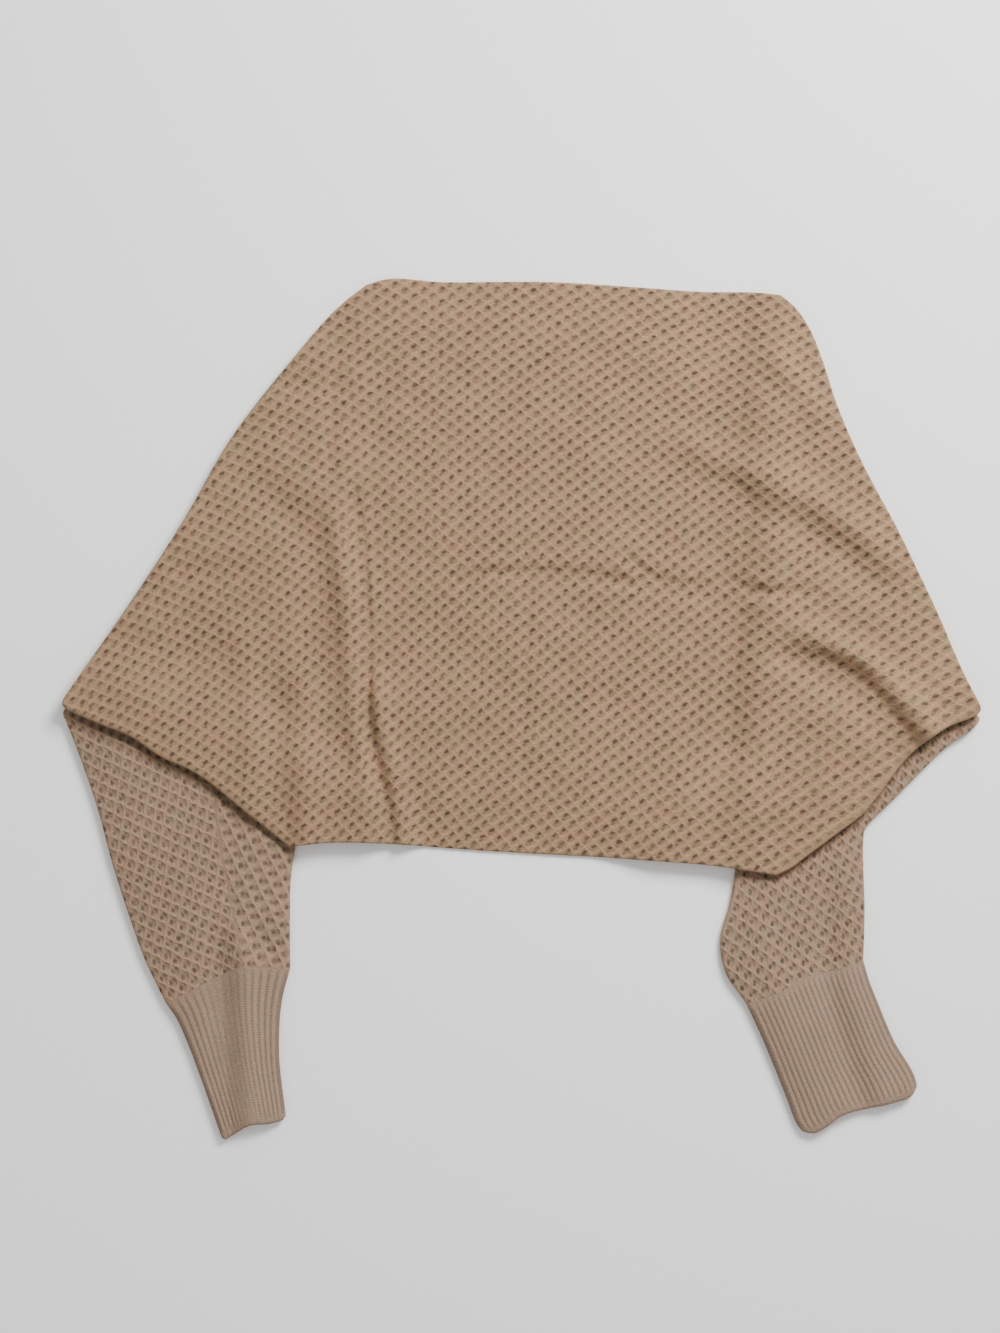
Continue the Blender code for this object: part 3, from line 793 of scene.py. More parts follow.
@dataclass
class Shading:
    """A material under construction, with its node tree and its Principled surface."""

    name: str
    roughness: float
    material: bpy.types.Material = field(init=False)
    tree: bpy.types.NodeTree = field(init=False)
    inputs: bpy.types.bpy_prop_collection = field(init=False)
    place: Socket = field(init=False)

    def __post_init__(self) -> None:
        """Start the material."""
        self.material = bpy.data.materials.new(self.name)
        self.material.use_nodes = True
        self.tree = self.material.node_tree
        self.inputs = self.tree.nodes["Principled BSDF"].inputs
        self.inputs["Roughness"].default_value = self.roughness
        self.place = self.add(Node.PLACE)["Object"]

    def feed(self, socket: Socket, value: object) -> None:
        """Feed an input.

        Args:
            socket: The input.
            value: A constant, or the output that is linked to it.
        """
        if isinstance(value, Socket):
            self.tree.links.new(value, socket)
        else:
            socket.default_value = value

    def add(self, node: Node, *values: object) -> Sequence[Socket]:
        """Add a node with its settings and links.

        Args:
            node: Which node it is.
            values: What its inputs take, in order: constants, or outputs of other nodes.

        Returns:
            The node's outputs.
        """
        wiring = node.value
        made = self.tree.nodes.new(wiring.kind)
        for key, value in wiring.settings.items():
            setattr(made, key, value)
        for key, value in zip(wiring.inputs, values):
            self.feed(made.inputs[key], value)
        return made.outputs

    def speckle(self, size_mm: float, detail: float) -> tuple[Socket, float, float]:
        """Return what noise on the piece takes, for features of a size in mm."""
        return (self.place, per_metre(size_mm), detail)


@dataclass(frozen=True)
class Yarn:
    """Heathered cotton and wool yarn, plied and softly spun: no gloss, a fuzzy pale edge.

    Real fibres are far finer. They are drawn as coarse as they need to be to show in the render.
    """

    # light is painted highlight on ridges and rib crests; hollow is painted shade in the hollows and
    # grooves.
    light: str = "AC8B67"
    ground: str = "927353"
    rosy: str = "946F5B"
    grey: str = "807257"
    hollow: str = "3D3029"
    roughness: float = 0.92
    specular: float = 0.25
    sheen: float = 0.1
    sheen_roughness: float = 0.5
    sheen_tint: str = "E2CDB8"
    fibre_mm: float = 1.3
    fibre_tones: tuple[float, float] = (0.82, 1.16)
    heather_mm: float = 2.4
    heather_share: float = 0.6
    heather_span: tuple[float, float] = (0.38, 0.62)
    drift_mm: float = 12.0
    drift_share: float = 0.38
    patch_mm: float = 55.0
    patch_tones: tuple[float, float] = (0.96, 1.04)

    def shading(self, name: str) -> Shading:
        """Start a material in this yarn.

        Args:
            name: The material's name.

        Returns:
            The material, with the yarn's matt and slightly fuzzy surface.
        """
        shading = Shading(name, self.roughness)
        shading.inputs["Metallic"].default_value = 0.0
        shading.inputs["Specular IOR Level"].default_value = self.specular
        shading.inputs["Sheen Weight"].default_value = self.sheen
        shading.inputs["Sheen Roughness"].default_value = self.sheen_roughness
        shading.inputs["Sheen Tint"].default_value = linear(self.sheen_tint)
        return shading

    def heathered(self, shading: Shading) -> Socket:
        """Colour the yarn itself: rosy and grey fibres carded together, and paler patches.

        Args:
            shading: The material.

        Returns:
            The colour.
        """
        add = shading.add
        drift = add(Node.NOISE, *shading.speckle(self.drift_mm, 1.0))[0]
        drift = add(Node.TIMES, drift, self.drift_share)[0]
        grain = add(Node.NOISE, *shading.speckle(self.heather_mm, 3.0))[0]
        grain = add(Node.TIMES_PLUS, grain, 1 - self.drift_share, drift)[0]
        grain = add(Node.EASED, grain, *self.heather_span)[0]
        heather = add(Node.MIXED, grain, linear(self.rosy), linear(self.grey))[COLOUR_OUT]
        body = add(Node.MIXED, self.heather_share, linear(self.ground), heather)[COLOUR_OUT]
        fibre = add(Node.NOISE, *shading.speckle(self.fibre_mm, 3.0))[0]
        fibre = add(Node.EASED, fibre, 0.25, 0.75, *self.fibre_tones)[0]
        patches = add(Node.NOISE, *shading.speckle(self.patch_mm, 1.0))[0]
        patches = add(Node.EASED, patches, 0.3, 0.7, *self.patch_tones)[0]
        tone = add(Node.TIMES, fibre, patches)[0]
        tone = add(Node.JOINED, tone, tone, tone)[0]
        return add(Node.TINTED, 1.0, body, tone)[COLOUR_OUT]


@dataclass(frozen=True)
class TuckKnit:
    """Honeycomb tuck knit: crossed ridges of yarn with a painted highlight, and a hollow in each
    diamond.

    It is machine knitted and matt, and its hollows are darkened with painted shade.
    """

    yarn: Yarn = Yarn()
    relief: TuckRelief = TuckRelief()
    depth: float = 0.6 * MM
    sway_mm: float = 5.0
    unevenness: float = 0.26
    # Share of the painted highlight along the ridges.
    ridge_highlight_share: float = 0.5
    crossing_share: float = 0.6
    highlight_break_mm: float = 4.0
    # Shares of the painted shade in each diamond's hollow, in its tail and all round it.
    hollow_shade_share: float = 0.9
    hollow_span: tuple[float, float] = (0.42, 0.94)
    hollow_patch_mm: float = 5.5
    lower_shade_share: float = 0.55
    lower_span: tuple[float, float] = (0.45, 0.98)
    lower_patch_mm: float = 7.5
    open_shade_share: float = 0.14
    open_span: tuple[float, float] = (0.0, 0.8)
    fuzz_rise: float = 0.35
    ridge_rise: float = 0.6
    hollow_drop: float = 0.8

    def material(self, name: str) -> bpy.types.Material:
        """Build the material, which reads wale, course and openness from the piece itself.

        Args:
            name: The material's name.

        Returns:
            The material.
        """
        shading = self.yarn.shading(name)
        add = shading.add
        wale, course, openness = add(Node.AXES, add(Node.CHART)["Vector"])
        sway = add(Node.CHANNELS, add(Node.NOISE, *shading.speckle(self.sway_mm, 1.0))["Color"])
        wale = add(Node.TIMES_PLUS, sway[0], 2 * self.unevenness, wale)[0]
        course = add(Node.TIMES_PLUS, sway[1], 2 * self.unevenness, course)[0]
        rising = add(Node.PLUS, wale, course)[0]
        falling = add(Node.MINUS, wale, course)[0]

        hollow = self._dimple(shading, rising, falling, self.relief.head, self.hollow_span)
        deeper = add(Node.NOISE, *shading.speckle(self.hollow_patch_mm, 1.0))[0]
        hollow = add(Node.TIMES, hollow, add(Node.EASED, deeper, 0.3, 0.7, 0.6, 1.0)[0])[0]
        lower = self._dimple(shading, rising, falling, self.relief.tail, self.lower_span)
        deeper = add(Node.NOISE, *shading.speckle(self.lower_patch_mm, 1.0))[0]
        lower = add(Node.TIMES, lower, add(Node.EASED, deeper, 0.35, 0.65, 0.4, 1.0)[0])[0]
        around = self._dimple(shading, rising, falling, (0.0, 0.0), self.open_span)
        crossing = add(Node.TIMES, self._ridge(shading, falling), self.crossing_share)[0]
        ridge = add(Node.LARGER, self._ridge(shading, rising), crossing)[0]
        ridge = add(Node.TIMES, ridge, openness)[0]

        # Painted highlight along the ridges, broken up by noise.
        highlight_breaks = add(Node.NOISE, *shading.speckle(self.highlight_break_mm, 2.0))[0]
        lit = add(Node.TIMES, ridge, add(Node.EASED, highlight_breaks, 0.3, 0.7, 0.4, 1.0)[0])[0]
        lit = add(Node.TIMES, lit, self.ridge_highlight_share)[0]
        colour = self.yarn.heathered(shading)
        colour = add(Node.MIXED, lit, colour, linear(self.yarn.light))[COLOUR_OUT]
        # Painted shade in the hollows; the same mask also sinks them in the bump.
        dips = add(Node.TIMES, hollow, self.hollow_shade_share)[0]
        dips = add(Node.LARGER, dips, add(Node.TIMES, lower, self.lower_shade_share)[0])[0]
        dips = add(Node.LARGER, dips, add(Node.TIMES, around, self.open_shade_share)[0])[0]
        dips = add(Node.TIMES, dips, openness)[0]
        colour = add(Node.MIXED, dips, colour, linear(self.yarn.hollow))[COLOUR_OUT]
        shading.feed(shading.inputs["Base Color"], colour)

        fuzz = add(Node.NOISE, *shading.speckle(self.yarn.fibre_mm, 2.0))[0]
        fuzz = add(Node.TIMES, fuzz, self.fuzz_rise)[0]
        height = add(Node.TIMES_PLUS, ridge, self.ridge_rise, fuzz)[0]
        height = add(Node.MINUS, height, add(Node.TIMES, dips, self.hollow_drop)[0])[0]
        shading.feed(shading.inputs["Normal"], add(Node.BUMP, 1.0, self.depth, height)[0])
        return shading.material

    def _dimple(
        self,
        shading: Shading,
        rising: Socket,
        falling: Socket,
        place: tuple[float, float],
        span: tuple[float, float],
    ) -> Socket:
        """Draw the small hollows that lie at one place in each diamond.

        Args:
            shading: The material.
            rising: The phase across the ridges that rise to the right.
            falling: The phase across those that fall.
            place: The hollow's wale and course in its diamond.
            span: The values between which a hollow fades in.

        Returns:
            A mask of the hollows.
        """
        add = shading.add
        rise = add(Node.MINUS, rising, place[0] + place[1])[0]
        fall = add(Node.MINUS, falling, place[0] - place[1])[0]
        across = add(Node.COSINE, add(Node.TIMES, rise, np.pi)[0])[0]
        along = add(Node.COSINE, add(Node.TIMES, fall, np.pi)[0])[0]
        across = add(Node.TIMES, across, self.relief.slant)[0]
        depth = add(Node.TIMES_PLUS, along, 1 - self.relief.slant, across)[0]
        return add(Node.EASED, depth, *span)[0]

    @staticmethod
    def _ridge(shading: Shading, phase: Socket) -> Socket:
        """Return a mask of the ridges where a diagonal phase is odd."""
        wave = shading.add(Node.COSINE, shading.add(Node.TIMES, phase, np.pi)[0])[0]
        return shading.add(Node.EASED, wave, -0.5, -0.98)[0]


@dataclass(frozen=True)
class RibKnit:
    """One by one rib: round ribs with a painted highlight, and painted shade in the narrow purl
    grooves.
    """

    yarn: Yarn = Yarn("A48970", "8B7562", "907260", "837361", "52423A")
    crest_highlight_share: float = 0.3
    groove_shade_share: float = 0.42
    course_mm: float = 1.7
    course_rise: float = 0.18
    fuzz_rise: float = 0.6
    depth: float = 0.35 * MM

    def material(self, name: str) -> bpy.types.Material:
        """Build the material, which reads rib, length in mm and depth of rib from the piece.

        Args:
            name: The material's name.

        Returns:
            The material.
        """
        shading = self.yarn.shading(name)
        add = shading.add
        rib, length, depth = add(Node.AXES, add(Node.CHART)["Vector"])
        wave = add(Node.COSINE, add(Node.TIMES, rib, 2 * np.pi)[0])[0]
        groove = add(Node.TIMES, add(Node.EASED, wave, -0.35, -1.0)[0], depth)[0]
        crest = add(Node.TIMES, add(Node.EASED, wave, 0.0, 1.0)[0], depth)[0]
        course = add(Node.SINE, add(Node.TIMES, length, 2 * np.pi / self.course_mm)[0])[0]

        # Painted highlight on the rib crests and painted shade in the purl grooves.
        lit = add(Node.TIMES, crest, self.crest_highlight_share)[0]
        colour = self.yarn.heathered(shading)
        colour = add(Node.MIXED, lit, colour, linear(self.yarn.light))[COLOUR_OUT]
        dark = add(Node.TIMES, groove, self.groove_shade_share)[0]
        colour = add(Node.MIXED, dark, colour, linear(self.yarn.hollow))[COLOUR_OUT]
        shading.feed(shading.inputs["Base Color"], colour)

        fuzz = add(Node.NOISE, *shading.speckle(self.yarn.fibre_mm, 2.0))[0]
        fuzz = add(Node.TIMES, fuzz, self.fuzz_rise)[0]
        height = add(Node.TIMES_PLUS, course, self.course_rise, fuzz)[0]
        shading.feed(shading.inputs["Normal"], add(Node.BUMP, 1.0, self.depth, height)[0])
        return shading.material


@dataclass(frozen=True)
class SewingThread:
    """Spun polyester sewing thread: finer and a little darker than the yarn, with a faint gloss.

    Its twist is drawn coarser than the real one, so that it shows.
    """

    colour: str = "7C6555"
    pale: str = "9C8472"
    roughness: float = 0.6
    twist_mm: float = 0.5

    def material(self, name: str) -> bpy.types.Material:
        """Build the material, whose twist is drawn by fine noise.

        Args:
            name: The material's name.

        Returns:
            The material.
        """
        shading = Shading(name, self.roughness)
        twist = shading.add(Node.NOISE, *shading.speckle(self.twist_mm, 2.0))[0]
        twist = shading.add(Node.EASED, twist, 0.35, 0.65)[0]
        colour = shading.add(Node.MIXED, twist, linear(self.colour), linear(self.pale))
        shading.feed(shading.inputs["Base Color"], colour[COLOUR_OUT])
        return shading.material


@dataclass(frozen=True)
class PaperSweep:
    """Matt white background paper, rolled smooth: it takes soft shadows and gives no shine.

    Its grain is drawn coarser than the real one, so that it shows.
    """

    colour: str = "FAF9F8"
    roughness: float = 0.95
    grain_mm: float = 2.0
    grain_depth: float = 0.02 * MM
    grain_share: float = 0.2

    def material(self, name: str) -> bpy.types.Material:
        """Build the material, with the paper's faint grain in its bump.

        Args:
            name: The material's name.

        Returns:
            The material.
        """
        shading = Shading(name, self.roughness)
        shading.feed(shading.inputs["Base Color"], linear(self.colour))
        grain = shading.add(Node.NOISE, *shading.speckle(self.grain_mm, 2.0))[0]
        bump = shading.add(Node.BUMP, self.grain_share, self.grain_depth, grain)[0]
        shading.feed(shading.inputs["Normal"], bump)
        return shading.material


def chart_stitches(piece: bpy.types.Object, values: np.ndarray) -> None:
    """Keep three stitch values on each point of a piece, for its material to read.

    Args:
        piece: The piece.
        values: A row of three for each vertex.
    """
    chart = piece.data.attributes.new("stitch", "FLOAT_VECTOR", "POINT")
    chart.data.foreach_set("vector", values.astype(np.float32).ravel())


def plan_of(piece: bpy.types.Object) -> np.ndarray:
    """Find where a piece's vertices lie in the tables' own plan.

    Args:
        piece: The piece.

    Returns:
        A point in metres for each vertex.
    """
    places = np.empty(len(piece.data.vertices) * 3, np.float32)
    piece.data.vertices.foreach_get("co", places)
    return places.reshape(-1, 3)[:, :2] - np.array(LAYERS.laid_shift) * MM


@dataclass
class BackPanel:
    """The back with both batwings, lofted over the fronts, its lower folds turned under."""

    columns: int = 336
    rows: int = 232
    under_share: int = 4
    fold_share: float = 11 / 48
    overarm_flap: float = 8 * MM
    elbow_flap: float = 6 * MM
    waist_flap: float = 30 * MM
    sleeve_past_flap: float = 3 * MM
    elbow_rise: float = 34 * MM
    loft: float = 3.2 * MM
    loft_share: float = 0.5
    loft_run: float = 60 * MM
    loft_from_edge: float = 45 * MM
    step_full: float = 4 * MM
    step_run: float = 28 * MM
    tip_reach: tuple[int, int] = (9, 6)
    tip_passes: tuple[int, int] = (26, 10)
    fold_full: float = 13 * MM
    fold_run: float = 60 * MM
    blend_power: float = 4
    start_share: float = 0.2
    start_slope: float = 1.6
    reach_parts: int = 11
    crease_fade: float = 0.12
    ripple_at_edge: float = 0.3
    fold_calm: float = 7 * MM
    left_calm: float = 4.2 * MM
    fold_openness: tuple[float, float] = (0.4, 0.15)
    flat: tuple[float, float] = (0.70, 0.47)
    area: float = 0.222
    stitches: StitchField = StitchField(BODY_STITCHES)
    knit: TuckKnit = TuckKnit()
    outline: np.ndarray = field(init=False)
    normals: np.ndarray = field(init=False)

    def __post_init__(self) -> None:
        """Draw the outline, clockwise from the left end of the neck."""
        fold = self.fold_columns
        lower = chained(
            even(smooth_curve(FOLD_LEFT), fold),
            even(smooth_curve(HEM), self.columns - 2 * fold),
            even(smooth_curve(FOLD_RIGHT), fold),
        )
        self.outline = chained(
            even(smooth_curve(NECK), self.columns),
            even(smooth_curve(OVERARM_RIGHT), self.rows),
            lower[::-1],
            even(smooth_curve(OVERARM_LEFT), self.rows)[::-1],
        )[:-1]
        tips = (self.tip(Side.RIGHT), self.tip(Side.LEFT))
        for tip, reach, passes in zip(tips, self.tip_reach, self.tip_passes):
            self.outline = rounded(self.outline, [tip], reach, passes)
        bends = (0, self.columns, *tips, self.waist(Side.RIGHT), self.waist(Side.LEFT))
        self.normals = inward_normals(self.outline, bends)

    @property
    def fold_columns(self) -> int:
        """Return how many columns end on each lower fold."""
        return round(self.columns * self.fold_share)

    def tip(self, side: Side) -> int:
        """Return the outline's place at an elbow."""
        first = self.columns + self.rows
        return first if side is Side.RIGHT else first + self.columns

    def waist(self, side: Side) -> int:
        """Return the outline's place where a lower fold meets the hem."""
        fold = self.fold_columns
        return self.tip(side) + (fold if side is Side.RIGHT else -fold)

    def flaps(self) -> dict[str, np.ndarray]:
        """Work out, round the outline, where it is folded and how its cloth is turned in.

        Returns:
            For each point of the outline, by name: whether it is folded, the flap's length, and
            the height of the flap's underside.
        """
        outline = self.outline
        index = np.arange(len(outline))
        folded = (index > self.columns) & (index <= self.waist(Side.RIGHT))
        folded |= index >= self.waist(Side.LEFT)
        length = np.full(len(outline), self.overarm_flap)
        floor = np.zeros(len(outline))
        for side in Side:
            tip, waist = self.tip(side), self.waist(side)
            from_tip = np.abs(index - tip) / self.fold_columns
            lower = (index >= min(tip, waist)) & (index <= max(tip, waist))
            reach = self.elbow_flap + (self.waist_flap - self.elbow_flap) * from_tip
            length = np.where(lower, reach, length)
            near = np.linalg.norm(outline - outline[tip], axis=1)
            lift = smoothstep((self.elbow_rise - near) / (self.elbow_rise - self.overarm_flap))
            rising = np.maximum(floor, LAYERS.over_sleeve * lift)
            floor = np.where(lower, LAYERS.over_sleeve, rising)
        return {"fold": folded, "length": length, "floor": floor}

    def sleeve_reach(self, side: Side, gap: float = 0.0) -> np.ndarray:
        """Draw the line under a batwing where its sleeve ends.

        Args:
            side: The arm.
            gap: How far inside that line to draw it.

        Returns:
            Points from the elbow to the waist.
        """
        share = np.linspace(0, 1, self.reach_parts + 1)
        order = np.linspace(self.tip(side), self.waist(side), len(share)).round().astype(int)
        turned = self.flaps()["length"][order]
        past_flap = LAYERS.wall + turned + self.sleeve_past_flap
        opening = smoothstep(self.start_share + self.start_slope * share)
        reach = np.maximum(LAYERS.wall, past_flap * opening) + gap
        return self.outline[order] + self.normals[order] * reach[:, None]

    @staticmethod
    def _past_front(xy: np.ndarray, edge: Route, facing: int) -> np.ndarray:
        """Measure how far points lie past the free edge of a front.

        Args:
            xy: Points in plan.
            edge: The free edge.
            facing: 1 where the front lies to the left of it, -1 to the right.

        Returns:
            Distances, below 0 over the front.
        """
        line = smooth_curve(edge)
        order = line[:, 1].argsort()
        edge_x = np.interp(xy[..., 1], line[order, 1], line[order, 0])
        return (xy[..., 0] - edge_x) * facing

    def _loosely_laid(self, xy: np.ndarray, past: np.ndarray) -> np.ndarray:
        """Loft the loose cloth: more over the fronts, none at the neck and hem.

        Args:
            xy: Points in plan.
            past: How far they lie past the nearer front.

        Returns:
            Heights to add.
        """
        to_neck, _ = distance_to(xy, smooth_curve(NECK, 3))
        to_hem, _ = distance_to(xy, smooth_curve(HEM, 3))
        inside = smoothstep(np.minimum(to_neck, to_hem) / self.loft_from_edge)
        over = 1 - smoothstep((past + self.loft_run / 2) / self.loft_run)
        share = self.loft_share * inside + (1 - self.loft_share) * over
        calm = self.ripple_at_edge + (1 - self.ripple_at_edge) * inside
        return self.loft * share + rippled(xy, RIPPLES) * calm

    def _over_flap(self, xy: np.ndarray, line: np.ndarray) -> np.ndarray:
        """Work out how far the back is lifted over a turned-in flap.

        Args:
            xy: Points in plan.
            line: The fold from which the flap is turned in, from the elbow.

        Returns:
            Shares from 0 to 1.
        """
        gap, along = distance_to(xy, line)
        full = self.fold_full + self.elbow_flap + (self.waist_flap - self.elbow_flap) * along
        return 1 - smoothstep((gap - full) / self.fold_run)

    def underside(self, xy: np.ndarray) -> np.ndarray:
        """Work out the height of the cloth's underside, over its layers, lofted and folded.

        Args:
            xy: Points in plan.

        Returns:
            Heights in metres.
        """
        past = np.minimum(
            self._past_front(xy, FRONT_EDGE_LEFT, 1),
            self._past_front(xy, FRONT_EDGE_RIGHT, -1),
        )
        over_fronts = 1 - smoothstep((past - self.step_full) / self.step_run)
        over_folds = np.maximum(
            self._over_flap(xy, smooth_curve(FOLD_LEFT)),
            self._over_flap(xy, smooth_curve([*FOLD_RIGHT[::-1], RIGHT_HEM_OVER_SLEEVE])),
        )
        power = self.blend_power
        lifts = (LAYERS.over_front * over_fronts) ** power
        lifts += (LAYERS.over_flap * over_folds) ** power
        folds = fold_relief(xy, BACK_FOLDS) + fold_relief(xy, BACK_CREASES, self.crease_fade)
        return lifts ** (1 / power) + np.maximum(self._loosely_laid(xy, past) + folds, 0)

    def openness(self, xy: np.ndarray) -> np.ndarray:
        """Work out how open the knit is: it closes up where it bends round the lower folds.

        Args:
            xy: Points in plan.

        Returns:
            Shares from 0 to 1.
        """
        from_left, _ = distance_to(xy, smooth_curve(FOLD_LEFT))
        from_right, _ = distance_to(xy, smooth_curve(FOLD_RIGHT))
        least_left, least_right = self.fold_openness
        left = least_left + (1 - least_left) * smoothstep(from_left / self.left_calm)
        right = least_right + (1 - least_right) * smoothstep(from_right / self.fold_calm)
        return right * left

    def build(self) -> bpy.types.Object:
        """Build the panel.

        Returns:
            The piece, without its finish.
        """
        cloth = ClothMesh()
        inner = self.outline + self.normals * LAYERS.wall
        plan = fill_loop(inner, self.columns, self.rows)
        under = self.underside(plan)
        relief = self.knit.relief.at(self.stitches.at(plan), self.openness(plan))
        top = cloth.grid(self.columns, self.rows)
        cloth.place(top, plan, under + LAYERS.wall + relief)
        loop = border(top)
        flaps = self.flaps()
        edge_top = border(under) + LAYERS.wall
        edge_relief = border(relief)
        for ring in EDGE_RINGS[1:]:
            turned = ring.flap_inset * LAYERS.wall + ring.flap_share * flaps["length"]
            level = flaps["floor"] + ring.flap_walls * LAYERS.wall
            level = level + ring.flap_rise * (edge_top - flaps["floor"])
            level = level + max(2 * ring.flap_rise - 1, 0) * (ring.flap_walls == 0) * edge_relief
            plain = edge_top - ring.drop * LAYERS.wall + max(1 - 2 * ring.drop, 0) * edge_relief
            inset = np.where(flaps["fold"], turned, ring.inset * LAYERS.wall)
            z = np.where(flaps["fold"], level, plain)
            loop = cloth.ring(loop)
            cloth.place(loop, self.outline + self.normals * inset[:, None], z)
        step = self.under_share
        coarse = fill_loop(inner, self.columns, self.rows, step)
        lower = cloth.grid(self.columns // step, self.rows // step)
        cloth.place(lower, coarse, self.underside(coarse))
        cloth.weld(loop, border(lower), step)
        piece = cloth.finish("back_panel")
        xy = plan_of(piece)
        chart_stitches(piece, np.column_stack([self.stitches.at(xy), self.openness(xy)]))
        return piece

    def dress(self, piece: bpy.types.Object) -> None:
        """Args:
            piece: The built panel.
        """
        piece.data.materials.append(self.knit.material("tuck_knit_back"))
        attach(piece, "root")
        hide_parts("back")
        resting = [f"front_{side.value}_panel" for side in Side]
        resting += [f"sleeve_{side.value}_tube" for side in Side]


@dataclass
class FrontPanel:
    """A front: a flat wall that lies on the surface under the back."""

    side: Side
    back: BackPanel
    free_edge: Route
    flat: tuple[float, float]
    area: float
    corner: Route = ()
    rows: int = 60
    off_shoulder: float = 2 / 28
    off_elbow: float = 3 / 28
    first_reach: int = 3
    span_parts: int = 3
    stitches: StitchField = StitchField(BODY_STITCHES)
    knit: TuckKnit = TuckKnit()

    def outline(self) -> tuple[np.ndarray, int]:
        """Draw the front's outline under the back.

        Returns:
            The clockwise outline, and how many columns its top and bottom have.
        """
        back, side = self.back, self.side
        beside_flap = LAYERS.wall + back.overarm_flap + LAYERS.seam
        flap_line = back.outline + back.normals * beside_flap
        first = round(self.off_shoulder * back.rows)
        last = round(self.off_elbow * back.rows)
        if side is Side.LEFT:
            run = flap_line[back.tip(side) + last : len(flap_line) - first + 1][::-1]
        else:
            run = flap_line[back.columns + first : back.tip(side) - last + 1]
        overarm = even(run, self.rows)
        edge = even(smooth_curve(self.free_edge), self.rows)
        reach = back.sleeve_reach(side, gap=LAYERS.sleeve_seam)[self.first_reach :]
        corner = np.array(self.corner, float).reshape(-1, 2) * MM
        lower = np.vstack([overarm[-1:], reach, corner, edge[-1:]])
        columns = self.span_parts * (len(lower) - 1)
        lower = spread(lower, divided(lower, self.span_parts))
        top = even(np.vstack([overarm[:1], edge[:1]]), columns)
        outline = chained(top, edge, lower[::-1], overarm[::-1])[:-1]
        if side is Side.RIGHT:
            outline = np.vstack([outline[columns::-1], outline[:columns:-1]])
        return outline, columns

    def build(self) -> bpy.types.Object:
        """Build the panel.

        Returns:
            The piece, without its finish.
        """
        outline, columns = self.outline()
        low = len(outline) // 2
        normals = inward_normals(outline, (0, columns, low, low + columns), 3)
        inner = outline + normals * LAYERS.wall
        plan = fill_loop(inner, columns, low - columns)
        cloth = ClothMesh()
        top = cloth.grid(columns, low - columns)
        cloth.place(top, plan, LAYERS.wall)
        loop = border(top)
        for ring in PLAIN_RINGS[1:]:
            loop = cloth.ring(loop)
            inset = ring.inset * LAYERS.wall
            level = LAYERS.wall * (1 - ring.drop)
            cloth.place(loop, outline + normals * inset, np.full(len(outline), level))
        lower = cloth.grid(columns, low - columns)
        cloth.place(lower, plan, 0.0)
        cloth.weld(loop, border(lower))
        piece = cloth.finish(f"front_{self.side.value}_panel")
        xy = plan_of(piece)
        chart_stitches(piece, np.column_stack([self.stitches.at(xy), np.ones(len(xy))]))
        return piece

    def dress(self, piece: bpy.types.Object) -> None:
        """Args:
            piece: The built panel.
        """
        side = self.side.value
        piece.data.materials.append(self.knit.material(f"tuck_knit_front_{side}"))
        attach(piece, "root")
        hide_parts(f"front_{side}")


